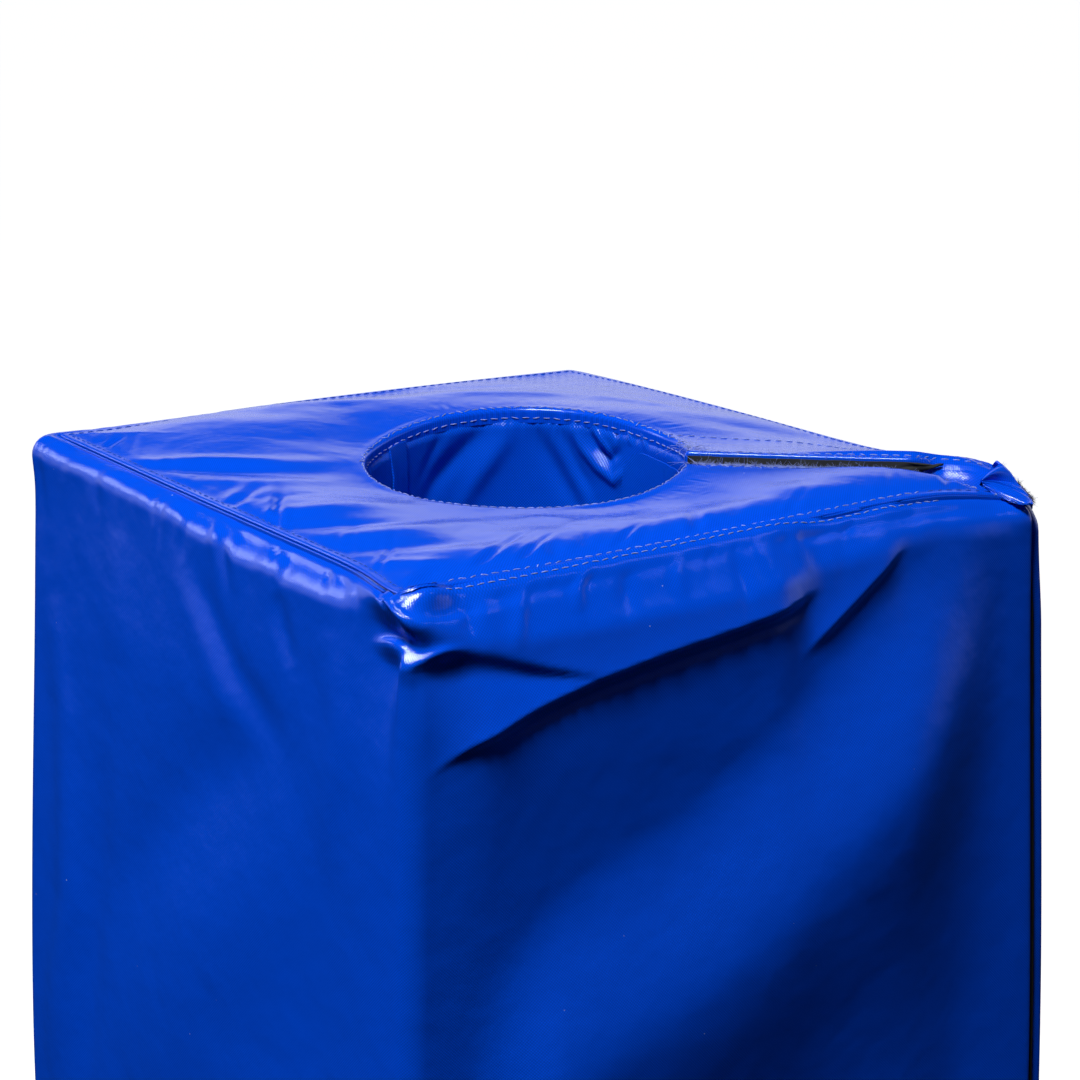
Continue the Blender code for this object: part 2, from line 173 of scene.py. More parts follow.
# Thickness of a tape without its pile, the waves of its face, how far the loop tape runs on round the
# rear half's slit corner, where it is cut off before the pocket at its top edge, the slant of that
# cut, and how far it may pass the upright strip's near side or stay before it
TAPE_BASE = TAPE_THICKNESS - 0.0006
TAPE_WAVE = 0.0003
TAPE_REACH = 0.0001
TAPE_CUT = 0.1728
TAPE_SLANT = 2.7
TAPE_OVER = 0.006
TAPE_UNDER = 0.020

# Sewing: spacing, length and radius of the stitches, distances of the rows from their edges, where
# the slit's row starts and ends, and where the pale part of the front seam ends
STITCH_PITCH = 0.0045
STITCH_LENGTH = 0.0034
STITCH_RADIUS = 0.00022
SLIT_ROW = 0.0016
SLIT_ROW_START = BORE_SHIFT + BORE_RADIUS + 0.006
SLIT_ROW_END = 0.188
SIDE_ROW = 0.0018
PALE_END = 0.235
FLAP_ROW = 0.0028
STRAND_RADIUS = 0.00009
FRAY_RADIUS = 0.00010

# Bunch of cloth at the slit corner's top: the point its folds meet at, and its upper outline, as
# along, across and height over the pad's top, and the number, height and sag of its folds
BUNCH_POINT = (0.1880, -0.0056, -0.0006)
BUNCH_CURVE = (
    (0.1960, 0.0080, 0.0046), (0.1995, 0.0072, 0.0022), (0.2020, 0.0066, -0.0010),
    (0.2040, 0.0060, -0.0040), (0.2062, 0.0040, -0.0052), (0.2078, 0.0010, -0.0066),
    (0.2102, -0.0112, -0.0077), (0.2044, -0.0118, -0.0081), (0.1945, -0.0085, -0.0050),
)
BUNCH_FOLDS = 4.5
BUNCH_HEIGHT = 0.0030
BUNCH_SAG = 0.0012

# Places at the front corner that are pressed flat: the pinched tip and the fold below it, as a
# point, its reach in plan and its reach in height, and the way that they face
PINCHES = (
    ((-0.1455, -0.1475, PAD_HEIGHT - 0.0046), 0.0125, 0.0060),
    ((-0.1522, -0.1475, PAD_HEIGHT - 0.0242), 0.0165, 0.0044),
)
PINCH_FACING = (-0.540, -0.565, 0.624)

# Row of stitches that holds the facing under the rear top, in plan
FACING_LINE = ((0.058, 0.040), (0.090, 0.043), (0.116, 0.050), (0.132, 0.040), (0.146, 0.022))

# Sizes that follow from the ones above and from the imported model
ROOT2 = math.sqrt(2.0)
HALF_WIDTH = SHOULDER_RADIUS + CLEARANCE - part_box("bottom_panel_front")[0].x
BACKING = FABRIC + CLEARANCE
SLIT_HALF_GAP = CLEARANCE / 2 + TAPE_THICKNESS + CLEARANCE
SLIT_CORNER = ROOT2 * HALF_WIDTH
SIDE = 2 * HALF_WIDTH
RIM_GIRTH = 2 * SIDE / math.pi

# Heights between which the cover's rows lie far, closer and closest together, where the foam's and
# the lining's rows at the foot end, and how far the fine rows of the slit's cloth reach in from its ends
FOOT_ROWS_END = 0.115
UPPER_ROWS_START = PAD_HEIGHT - 0.300
FINEST_ROWS_START = PAD_HEIGHT - 0.120
FOAM_ROWS_END = 0.12
LINER_ROWS_END = 0.08
SLIT_FINE_DEPTH = 0.06

# Grid counts
FACE_COLUMNS = {"front": 118, "rear": 104}
SHORT_COLUMNS = 84
FLEX_COLUMNS = 33
CORNER_COLUMNS = 8
NOSE_COLUMNS = 5
FLANGE_COLUMNS = 5
SHOULDER_ROWS = 8
PANEL_ROWS = 64
LINER_COLUMNS = {"front": 70, "flex": 121, "rear": 161}
BUNCH_COLUMNS = 121
BUNCH_ROWS = 26

# Rows of the grids that the sewing follows: on a panel the seam's, the rim's and the hem's, on the
# side cover the first of its upper half and the one that the weave's width is measured on, and on
# the flap the column that its height is read from
SEAM_ROW = -8
RIM_ROW = 6
HEM_ROW = 1
UPPER_ROW = 90
WEAVE_ROW = 60
FLAP_COLUMN = 20

# The regions of the pad, and the sense in which each one's columns run
HALVES = ("front", "flex", "rear")
SENSE = {"front": -1, "flex": -1, "rear": 1}

SEED = 11

# Surfaces that the sewing follows, filled in while the cloth is built
SEWN = {}


def ease(value):
    """Runs from 0 to 1 with level ends, and stays there outside."""
    t = np.clip(value, 0.0, 1.0)
    return t * t * (3.0 - 2.0 * t)


def within(value, start, rise, end, fall):
    """Eases in from a start over a rise, and out to an end over a fall."""
    return ease((value - start) / rise) * ease((end - value) / fall)


def bell(*shares):
    """A bell curve: the exponential of minus the square of a share, or of the sum of several squares."""
    return np.exp(-sum(share**2 for share in shares))


def corner_pull(pulls, u, v):
    """Blends the four corners' moves over the plan; u and v run from -1 to 1 along x and y."""
    weights = {
        "front": (1 - u) * (1 - v) / 4,
        "slit": (1 + u) * (1 - v) / 4,
        "flex": (1 - u) * (1 + v) / 4,
        "back": (1 + u) * (1 + v) / 4,
    }
    return sum(weights[name][..., None] * np.array(pulls[name]) for name in pulls)


def top_lift(x, y, half):
    """Height that the top stands above or below a flat face: raised behind the bore, sunk before it."""
    along = (x - y) / ROOT2 - BORE_SHIFT
    across = (x + y) / ROOT2
    bump = (1 - (x / HALF_WIDTH) ** 2) * (1 - (y / HALF_WIDTH) ** 2)
    rear = ease(across / (1.3 * BORE_RADIUS))
    front = ease(-across / BORE_RADIUS)
    near_slit = bell(across / SLIT_LIFT_REACH)
    lift = (REAR_RIM_LIFT * rear - FRONT_RIM_SAG * front) * bump
    lift = lift + SLIT_LIFT[half] * ease(2 * along / BORE_RADIUS - 1) * near_slit
    if half == "rear":
        lift = lift - REAR_EDGE_DROP * ease(along / SLIT_CORNER * 1.3) * (1 - near_slit)
    tip = np.hypot(along + BORE_SHIFT - SLIT_CORNER, across) / CORNER_DROP_REACH[half]
    return lift - CORNER_DROP[half] * bell(tip)


def pocket_bow(x, y, below):
    """Share of the pocket's full width, by plan position and depth below the top. It eases in over
    the first and out over the last share of its length."""
    share = ((x - y) / ROOT2 - POCKET_START) / (POCKET_END - POCKET_START)
    fade = ease(1 - (x + y) / ROOT2 / POCKET_FADE)
    depth = np.clip(1 - below / POCKET_DEPTH, 0.0, 1.0) ** 1.6
    return within(share, 0.0, POCKET_ENDS[0], 1.0, POCKET_ENDS[1]) * fade * depth


def settle(points, half):
    """Moves the points of a true block to where the filled cover really sits."""
    x, y, z = np.moveaxis(points, -1, 0)
    below = PAD_HEIGHT - z
    top = ease(1 - below / TOP_REACH)
    body = (1 - top) * ease(z / FOOT_REACH)
    u, v = x / HALF_WIDTH, y / HALF_WIDTH
    moved = points + top[..., None] * corner_pull(TOP_PULL, u, v)
    moved = moved + body[..., None] * corner_pull(BODY_PULL, u, v)
    crown = SIDE_CROWN * ease(below / SIDE_CROWN_REACH) * ease(z / SIDE_CROWN_REACH)
    moved[..., 0] += crown * u * (1 - v**2)
    moved[..., 1] += crown * v * (1 - u**2)
    moved[..., 2] += top_lift(x, y, half) * ease(1 - below / LIFT_DEPTH)
    along = (x - y) / ROOT2
    near = np.where(along < 0, FRONT_TIP_REACH[0], FRONT_TIP_REACH[1])
    tip = np.hypot(x + HALF_WIDTH - SHOULDER_RADIUS, y + HALF_WIDTH - SHOULDER_RADIUS) / near
    share = bell(tip) * ease(1 - below / SHOULDER_RADIUS)
    moved[..., :2] += share[..., None] * np.array(FRONT_TIP_SHIFT)
    if half == "rear":
        tip = np.hypot(x - HALF_WIDTH, y + HALF_WIDTH) / REAR_TIP_SPREAD
        slack = 1 - REAR_TIP_SLACK * ease(1 - below / REAR_TIP_DEPTH)
        tip_reach = REAR_TIP_REACH * slack * bell(tip)
        moved[..., :2] += tip_reach[..., None] * np.array([1, -1]) / ROOT2
        bow = pocket_bow(x, y, below)
        moved[..., :2] += POCKET_WIDTH / ROOT2 * bow[..., None]
        moved[..., 2] -= POCKET_SINK * bow
    return moved


def on_axes(along, across, *height):
    """Turns plan positions, and heights if given, into points on the world's axes."""
    return np.stack([(along + across) / ROOT2, (across - along) / ROOT2, *height], axis=-1)


def world(along, across, height, half):
    """Turns plan positions and heights into settled world points."""
    return settle(on_axes(*np.broadcast_arrays(along, across, height)), half)


def arc(centre_along, centre_across, radius, start, end, steps):
    """Points of an arc in plan for every level: (2, steps + 1, levels)."""
    angle = np.linspace(start, end, steps + 1)[:, None]
    return np.stack([centre_along + radius * np.cos(angle), centre_across + radius * np.sin(angle)])


def between(first, last, steps):
    """Points strictly between two ends in plan, for every level: (2, steps - 1, levels)."""
    share = (np.arange(1, steps) / steps)[:, None]
    return first[:, None] + (last - first)[:, None] * share


def edge_radius(nominal, inset):
    """A plan corner's radius, which tightens towards the seam."""
    return np.maximum(nominal * (1 - SEAM_SHARPNESS * inset / SHOULDER_RADIUS), FABRIC / 4)


def outline(half, inset, slit_gap=SLIT_HALF_GAP, coarse=1):
    """The outer edge in plan, as the along and the across positions of its columns for every inset:
    of a half from the slit round its nose and its outer corner to the flex line, or of the flexing
    strip from the front flex line round its corner to the rear one."""
    inset = np.atleast_1d(inset)
    corner = edge_radius(CORNER_RADIUS, inset)
    reach = ROOT2 * (HALF_WIDTH - inset - corner)
    eighth = math.pi / 4
    end = np.stack([FLEX_HALF_WIDTH - ROOT2 * (HALF_WIDTH - inset), FLEX_HALF_WIDTH + 0 * inset])
    if half == "flex":
        start = (end * [[1], [-1]])[:, None]
        bend = arc(-reach, 0.0 * inset, corner, 5 * eighth, 3 * eighth, CORNER_COLUMNS)
        counts = (FLEX_COLUMNS, FLEX_COLUMNS)
    else:
        nose = edge_radius(NOSE_RADIUS, inset)
        nose_across = slit_gap + nose
        nose_along = ROOT2 * (HALF_WIDTH - inset - nose) - nose_across
        start = arc(nose_along, nose_across, nose, -2 * eighth, eighth, NOSE_COLUMNS)
        bend = arc(0.0, reach, corner, eighth, 3 * eighth, CORNER_COLUMNS)
        counts = (FACE_COLUMNS[half], SHORT_COLUMNS)
    near = between(start[:, -1], bend[:, 0], counts[0] // coarse)
    far = between(bend[:, -1], end, counts[1] // coarse)
    along, across = np.concatenate([start, near, bend, far, end[:, None]], axis=1)
    return along, across if half == "flex" else SENSE[half] * across


def bore_turn(half, columns, radius, slit_gap):
    """Angles round the bore for an outline's columns, measured from the slit."""
    slit = math.asin(slit_gap / radius)
    flex = math.pi - math.asin(FLEX_HALF_WIDTH / radius)
    if half == "flex":
        return np.linspace(-flex, flex - 2 * math.pi, columns)
    return np.linspace(SENSE[half] * slit, SENSE[half] * flex, columns)


def girth(half, along, across):
    """Distance round the cover from the front corner, on the true block."""
    if half == "front":
        return ROOT2 * along
    if half == "flex":
        return -SIDE - ROOT2 * across
    return 2 * SIDE - ROOT2 * along


def nearest_turn(value):
    """Brings a difference of girths into half a turn either way."""
    return (value + 2 * SIDE) % (4 * SIDE) - 2 * SIDE


def path_gap(u, v, path):
    """Distance from a path of straight runs, and the share of the path's length at the nearest place."""
    path = np.array(path, float)
    lengths = np.hypot(*np.diff(path, axis=0).T)
    nearest = np.full(np.shape(u), 1e9)
    share = np.zeros(np.shape(u))
    before = 0.0
    for start, end, length in zip(path[:-1], path[1:], lengths):
        run = end - start
        t = np.clip(((u - start[0]) * run[0] + (v - start[1]) * run[1]) / length**2, 0.0, 1.0)
        gap = np.hypot(u - start[0] - t * run[0], v - start[1] - t * run[1])
        closer = gap < nearest
        nearest = np.where(closer, gap, nearest)
        share = np.where(closer, (before + t * length) / lengths.sum(), share)
        before += length
    return nearest, share


def stroke(u, v, path, width, height):
    """A soft ridge (or furrow, with a negative height) along a path, tapering to nothing at its ends."""
    gap, share = path_gap(u, v, path)
    taper = np.sin(math.pi * np.clip(share, 0.02, 0.98)) ** 0.7
    return height * taper * bell(gap / width)


def drop_line(u, points, soft=0.006):
    """Depth of a fold's crest at every girth: straight runs between points, rounded over a short way."""
    where, depth = np.array(points, float).T
    shifts = np.linspace(-soft, soft, 5)
    return sum(np.interp(u + shift, where, depth) for shift in shifts) / len(shifts)


def overhang(u, v, points, bulge, sink, dive, above, fall_off, fade):
    """A fold that hangs over: the cloth swells out down to the crest by an exponential of the way
    above it, dives in within a short way and comes back slowly by another. The share `fade` of its
    length is used up at either end."""
    where = np.array(points, float)[:, 0]
    t = v - drop_line(u, points)
    share = (u - where[0]) / (where[-1] - where[0])
    ends = within(share, 0.0, fade, 1.0, fade)
    up = bulge * np.exp(np.minimum(t, 0.0) / above)
    steep = np.clip(t / dive, 0.0, 1.0)
    fall = 0.74 * (1 - (1 - steep) ** 2) + 0.26 * ease(t / (2.6 * dive))
    down = -sink * np.exp(-np.maximum(t - 2.6 * dive, 0.0) / fall_off)
    return ends * (up * (1 - fall) + down * fall)


# Folds of the right face, as girth and depth below the top of points on each crest
CREASE = (
    (0.004, 0.068), (0.018, 0.058), (0.048, 0.047), (0.079, 0.040),
    (0.107, 0.036), (0.136, 0.033), (0.160, 0.030), (0.190, 0.025),
)
TONGUE = ((0.172, 0.052), (0.200, 0.034), (0.215, 0.024), (0.232, 0.014))
RIDGE = (
    (0.020, 0.232), (0.068, 0.197), (0.123, 0.176), (0.162, 0.153),
    (0.203, 0.127), (0.234, 0.104), (0.259, 0.080), (0.285, 0.050),
)
LENS_ARCH = (
    (-0.008, 0.0270), (0.006, 0.0205), (0.018, 0.0190), (0.034, 0.0230),
    (0.052, 0.0305), (0.070, 0.0365), (0.088, 0.0410),
)
LENS_EDGE = (
    (-0.008, 0.0275), (0.006, 0.0285), (0.022, 0.0305),
    (0.052, 0.0370), (0.070, 0.0400), (0.088, 0.0425),
)

# Depth of the groove under the crease, height of the ridge and depth of the lens
GROOVE_DEPTH = 0.0012
RIDGE_HEIGHT = 0.0135
LENS_DEPTH = 0.0027

# Where the slope of the shoulder breaks into the upright face, as girth and depth
SHOULDER_BREAK = (
    (-0.305, 0.0085), (-0.287, 0.0055), (-0.238, 0.0042), (-0.201, 0.0062),
    (-0.175, 0.0058), (-0.168, 0.0092), (-0.147, 0.0103), (-0.138, 0.0074),
    (-0.131, 0.0120), (-0.113, 0.0126), (-0.097, 0.0100), (-0.091, 0.0140),
    (-0.085, 0.0130), (-0.057, 0.0118), (-0.024, 0.0080), (-0.010, 0.0060),
    (0.004, 0.0070), (0.026, 0.0190), (0.050, 0.0215), (0.150, 0.0210),
    (0.200, 0.0170), (0.250, 0.0120), (0.290, 0.0090),
)

# Soft ridges and furrows of both faces, as girth and depth on each crest, width and height
LEFT_STROKES = (
    (((-0.224, 0.022), (-0.222, 0.080)), 0.012, 0.0009),
    (((-0.187, 0.020), (-0.150, 0.050), (-0.118, 0.090)), 0.010, 0.0007),
    (((-0.165, 0.020), (-0.128, 0.055), (-0.085, 0.080)), 0.009, -0.0014),
    (((-0.235, 0.200), (-0.194, 0.150), (-0.153, 0.110), (-0.070, 0.060)), 0.022, -0.0022),
    (((-0.210, 0.260), (-0.150, 0.180), (-0.060, 0.110)), 0.030, 0.0022),
    (((-0.284, 0.280), (-0.262, 0.190), (-0.268, 0.110), (-0.285, 0.060)), 0.011, 0.0020),
    (((-0.250, 0.300), (-0.240, 0.200), (-0.232, 0.110)), 0.010, -0.0016),
    (((-0.055, 0.020), (-0.048, 0.060), (-0.060, 0.120)), 0.010, 0.0012),
    (((-0.095, 0.018), (-0.082, 0.045)), 0.006, -0.0011),
)
RIGHT_STROKES = (
    (((0.147, 0.006), (0.147, 0.024)), 0.0030, -0.0009),
    (((0.158, 0.002), (0.161, 0.010), (0.166, 0.026)), 0.0030, 0.0007),
    (((0.052, 0.001), (0.049, 0.010), (0.044, 0.022)), 0.0026, 0.0011),
    (((0.077, 0.000), (0.072, 0.016)), 0.0024, 0.0010),
    (((0.174, 0.001), (0.182, 0.018)), 0.0030, 0.0010),
    (((0.098, 0.004), (0.092, 0.020)), 0.0034, -0.0010),
    (((0.120, 0.002), (0.118, 0.018)), 0.0028, 0.0008),
    (((0.030, 0.004), (0.026, 0.016)), 0.0026, -0.0010),
    (((0.205, 0.150), (0.215, 0.260), (0.200, 0.400)), 0.030, 0.0018),
    (((0.060, 0.250), (0.110, 0.330), (0.105, 0.460)), 0.032, -0.0020),
    (((0.250, 0.180), (0.262, 0.300)), 0.016, -0.0014),
)


def pucker_set(seed, count, depth, reach):
    """Places, widths, depths, starts, lengths and slants of the puckers below a seam."""
    draw = np.random.default_rng(seed)
    place = (np.arange(count) + draw.uniform(-0.45, 0.45, count)) * 4 * SIDE / count - 2 * SIDE
    width = draw.uniform(0.0022, 0.0052, count)
    deep = depth * draw.uniform(0.25, 1.0, count) ** 1.5
    start = draw.uniform(0.000, 0.006, count)
    length = reach * draw.uniform(0.35, 1.0, count) ** 1.5
    slant = draw.uniform(-0.45, 0.45, count)
    return np.stack([place, width, deep, start, length, slant], axis=1)


def puckers(place, reach, chosen):
    """Small folds that start under a seam and die away: each is a furrow between two low ridges."""
    total = np.zeros(np.broadcast_shapes(np.shape(place), np.shape(reach)))
    for centre, width, deep, start, length, slant in chosen:
        gap = nearest_turn(place - centre - slant * reach)
        near = np.abs(gap) < 4 * width
        square = (gap / (width * (1 + 12 * reach))) ** 2
        along = ease((reach - start) / 0.006) * (1 - ease((reach - start - 0.006) / length))
        total += np.where(near, deep * along * (2 * square - 1) * np.exp(-square), 0.0)
    return total


def drapes(place, below, seed, count, depth):
    """Broad soft waves in the cloth, each along a slanting line."""
    draw = np.random.default_rng(seed)
    total = np.zeros(np.broadcast_shapes(np.shape(place), np.shape(below)))
    for k in range(count):
        centre = -2 * SIDE + 4 * SIDE * (k + draw.uniform(0, 1)) / count
        middle = draw.uniform(0.05, PAD_HEIGHT - 0.05)
        half_length = draw.uniform(0.10, 0.35)
        width = draw.uniform(0.014, 0.034)
        slant = draw.uniform(-0.5, 0.5)
        height = depth * draw.uniform(-1, 1)
        gap = nearest_turn(place - centre - slant * (below - middle))
        run = np.clip(np.abs(below - middle) / half_length, 0, 1)
        total += height * (1 - ease(run)) * bell(gap / width)
    return total


# Waves of the uneven filling, as their number round the pad, phase and share, their height, and
# what they gain on the left face
LUMP_WAVES = ((41, 0.4, 0.5), (67, 2.1, 0.45), (97, 4.0, 0.35), (149, 1.2, 0.2))
LUMP_HEIGHT = 0.00015
LUMP_LEFT = 0.00018


def shoulder_lumps(place, reach):
    """Uneven filling under the shoulders: waves round the pad, strongest a little below the seam."""
    wave = sum(
        np.sin(2 * math.pi * (place * count / (4 * SIDE)) + phase) * share
        for count, phase, share in LUMP_WAVES
    )
    rough = LUMP_HEIGHT * (1 - 0.75 * ease(place / 0.02))
    rough = rough + LUMP_LEFT * bell((place + 0.130) / 0.050)
    return rough * wave * bell((reach - 0.012) / np.where(reach < 0.012, 0.008, 0.005))


def sloped_shoulder(place, reach):
    """Turns the round shoulder into a straight slope from the seam to its break, and a rounded
    turn there: the larger of the distances over the slope and over the face, smoothly joined."""
    deep = drop_line(place, SHOULDER_BREAK, 0.0035)
    radius = SHOULDER_RADIUS - SEAM_ROLL
    turn = np.minimum(reach / radius, math.pi / 2)
    inset = radius * (1 - np.sin(turn))
    sunk = radius * (1 - np.cos(turn)) + np.maximum(reach - radius * math.pi / 2, 0.0)
    over = (deep * (radius - inset) - radius * sunk) / np.hypot(deep, radius)
    half_turn = np.arctan2(SHOULDER_RADIUS, deep) / 2
    join = (0.026 + 0.019 * ease(place / 0.03)) * (1 / np.cos(half_turn) - 1)
    share = np.clip(0.5 + 0.5 * (over + inset) / join, 0.0, 1.0)
    outside = -inset + (over + inset) * share + join * share * (1 - share)
    ends = ease((place + SIDE - 0.006) / 0.020) * ease((SIDE - 0.004 - place) / 0.030)
    return -outside * ends


def right_face(place, below):
    """The big folds of the face between the front corner and the slit corner: two that hang over, a
    long slanting ridge, and a hollow like a lens between its arch and its edge."""
    total = overhang(
        place, below, CREASE, bulge=0.0086, sink=-0.0042, dive=0.0046, above=0.030, fall_off=0.070, fade=0.17
    )
    groove = bell((below - drop_line(place, CREASE) - 0.0050) / 0.0026)
    total = total - GROOVE_DEPTH * groove * ease((place - 0.020) / 0.04) * ease((0.185 - place) / 0.03)
    total = total + overhang(
        place, below, TONGUE, bulge=0.0034, sink=-0.0008, dive=0.006, above=0.014, fall_off=0.040, fade=0.30
    )
    crest = below - drop_line(place, RIDGE, 0.010)
    share = np.clip((place - RIDGE[0][0]) / (RIDGE[-1][0] - RIDGE[0][0]), 0.0, 1.0)
    ends = within(share, 0.0, 0.15, 1.0, 0.25)
    swell = np.where(crest < 0, ease(1 + crest / 0.082), 1 / np.cosh(crest / 0.048))
    total = total + RIDGE_HEIGHT * ends * swell
    arch = drop_line(place, LENS_ARCH, 0.003)
    tall = np.maximum(drop_line(place, LENS_EDGE, 0.003) - arch, 0.001)
    t = below - arch
    inside = within(place, -0.009, 0.012, 0.090, 0.030)
    dive = ease(t / (0.7 * tall)) * np.exp(-np.maximum(t - tall, 0.0) / 0.012)
    return total - LENS_DEPTH * inside * dive * np.minimum(tall / 0.007, 1.0)


# The swelling of the flexing corner's top, and the front corner's hollow, the swelling below it and
# its crumpled tip
FLEX_SWELL = 0.0012
CORNER_HOLLOW = 0.0050
CORNER_SWELL = 0.0008
CORNER_TIP = 0.0010


def front_corner(place, reach, below):
    """The pinched front corner: a crumpled tip at the seam, a hollow and a swelling below it."""
    near = bell((place + 0.003) / np.where(place < -0.003, 0.026, 0.011))
    edge = 0.0235 + 0.12 * np.minimum(place, 0.0)
    t = below - edge + 0.006
    low = 0.0044 + 0.034 * ease((-0.005 - place) / 0.012)
    hollow = -CORNER_HOLLOW * near * bell(t / np.where(t < 0, 0.0056, low))
    swell = CORNER_SWELL * bell((place - 0.001) / 0.012, (t - 0.0096) / 0.0034)
    tip = CORNER_TIP * bell(place / 0.006, reach / 0.006)
    crumple = CORNER_TIP * np.sin(place * 900 + 2 * np.sin(reach * 700)) * np.sin(reach * 800 + 1)
    return hollow + swell + tip + crumple * bell(place / 0.008, reach / 0.007)


def cover_relief(half, place, reach, below, height):
    """How far the side cover stands out from its settled form, by girth, way from the top seam, depth
    and height: the sum of its puckers, lumps, waves, folds and strokes, down to none at the slit."""
    top_puckers = pucker_set(SEED, count=74, depth=0.0021, reach=0.045)
    foot_puckers = pucker_set(SEED + 1, count=64, depth=0.0016, reach=0.050)
    calm = 0.30 - 0.16 * ease(place / 0.02)
    total = puckers(place, reach, top_puckers) * calm + shoulder_lumps(place, reach)
    total = total + FLEX_SWELL * bell((place + SIDE) / 0.020, (reach - 0.012) / 0.010)
    total = total - SEAM_STEP * bell(reach / 0.0026)
    total = total + puckers(place, reach[..., ::-1], foot_puckers)
    total = total + shoulder_lumps(place + 0.05, reach[..., ::-1])
    waves = drapes(place, below, SEED + 2, count=60, depth=0.0022)
    total = total + waves * ease(below / 0.05) * ease(height / 0.06)
    if half != "rear":
        total = total + right_face(place, below) + sloped_shoulder(place, reach)
        total = total + front_corner(place, reach, below)
        for path, width, depth in LEFT_STROKES + RIGHT_STROKES:
            total = total + stroke(place, below, path, width, depth)
    at_slit = np.abs(np.abs(place) - SIDE) / 0.022
    return total * np.clip(np.where(place > 0, at_slit, 1.0), 0.0, 1.0)


def cover_profile():
    """The side cover from the foot seam to the top seam, as inset and height: it rises from the
    seam, rolls over, runs round the shoulder and up the face, and the same in reverse at the top."""
    roll = np.linspace(0.0, math.pi / 2, 4)
    turn = np.linspace(0.0, math.pi / 2, SHOULDER_ROWS + 1)
    shoulder = SHOULDER_RADIUS - SEAM_ROLL
    inset = np.concatenate(
        [
            [SHOULDER_RADIUS],
            shoulder + SEAM_ROLL * np.cos(roll),
            (shoulder * (1 - np.sin(turn)))[1:-1],
        ]
    )
    sunk = np.concatenate(
        [
            [SEAM_ROLL + SEAM_DEPTH],
            SEAM_ROLL * (1 - np.sin(roll)),
            (shoulder * (1 - np.cos(turn)))[1:-1],
        ]
    )
    foot = np.linspace(shoulder, FOOT_ROWS_END, 18)
    middle = np.linspace(FOOT_ROWS_END, UPPER_ROWS_START, 60)[1:-1]
    end = PAD_HEIGHT - shoulder
    top = np.linspace(UPPER_ROWS_START, end, 72)
    top = np.concatenate([top[top < FINEST_ROWS_START], np.linspace(FINEST_ROWS_START, end, 72)])
    straight = np.concatenate([foot, middle, top])
    height = np.concatenate([sunk, straight, PAD_HEIGHT - sunk[::-1]])
    return np.concatenate([inset, 0 * straight, inset[::-1]]), height


def profile_reach(inset, height):
    """Length of the profile from the top of the seam roll down to each row, counted from the top."""
    step = np.hypot(np.diff(inset), np.diff(height))
    reach = np.concatenate([np.cumsum(step[::-1])[::-1], [0.0]])
    return np.maximum(reach - reach[-1] - SEAM_DEPTH - SEAM_ROLL * math.pi / 2, 0.0)


def unit(vectors):
    """Vectors over their lengths."""
    return vectors / np.maximum(np.linalg.norm(vectors, axis=-1, keepdims=True), 1e-12)


def grid_normals(points):
    """Unit normals of a grid of points, column direction times row direction."""
    return unit(np.cross(np.gradient(points, axis=0), np.gradient(points, axis=1)))


def cells(index):
    """The cells of a grid of point numbers, facing column direction times row direction."""
    return np.stack([index[:-1, :-1], index[1:, :-1], index[1:, 1:], index[:-1, 1:]], -1).reshape(-1, 4)


def grid_quads(columns, rows):
    """The cells of a grid that is numbered column by column."""
    return cells(np.arange(columns * rows).reshape(columns, rows))


def grid_border(columns, rows):
    """The border points of a grid in order, once round."""
    index = np.arange(columns * rows).reshape(columns, rows)
    return np.concatenate([index[:, 0], index[-1, 1:], index[-2::-1, -1], index[0, -2:0:-1]])


def link_mesh(name, points, faces, finish, uv=None, corner_normals=None):
    """Makes a mesh object at the origin from arrays of points and faces."""
    mesh = bpy.data.meshes.new(name)
    mesh.from_pydata(points.tolist(), [], faces if isinstance(faces, list) else faces.tolist())
    mesh.update()
    mesh.polygons.foreach_set("use_smooth", np.ones(len(mesh.polygons), bool))
    if uv is not None:
        corners = np.zeros(len(mesh.loops), np.int32)
        mesh.loops.foreach_get("vertex_index", corners)
        layer = mesh.uv_layers.new(name="weave")
        layer.data.foreach_set("uv", uv[corners].astype(np.float32).ravel())
    if corner_normals is not None:
        mesh.normals_split_custom_set(corner_normals.tolist())
    mesh.materials.append(finish)
    made = bpy.data.objects.new(name, mesh)
    bpy.context.scene.collection.objects.link(made)
    return made


def cloth_sheet(name, outer, uv, finish, thickness=FABRIC, facing=1, normals=None):
    """A closed sheet of cloth from the grid of its outer side. The inner side lies one thickness
    behind it along the normals, and a strip closes the border."""
    normals = facing * grid_normals(outer) if normals is None else normals
    columns, rows = outer.shape[:2]
    count = columns * rows
    front = grid_quads(columns, rows)[:, ::facing]
    border = grid_border(columns, rows)
    ahead = np.roll(border, -1)
    edge = np.stack([ahead, border, border + count, ahead + count], -1)[:, ::facing]
    points = np.concatenate([outer.reshape(-1, 3), (outer - thickness * normals).reshape(-1, 3)])
    faces = np.concatenate([front, front[:, ::-1] + count, edge])
    flat = normals.reshape(-1, 3)
    sides = points[edge]
    edge_normals = unit(np.cross(sides[:, 2] - sides[:, 0], sides[:, 3] - sides[:, 1]))
    corners = np.concatenate(
        [flat[front].reshape(-1, 3), -flat[front[:, ::-1]].reshape(-1, 3), np.repeat(edge_normals, 4, axis=0)]
    )
    uv = np.tile(uv.reshape(-1, 2), (2, 1))
    return link_mesh(name, points, faces, finish, uv, corners)


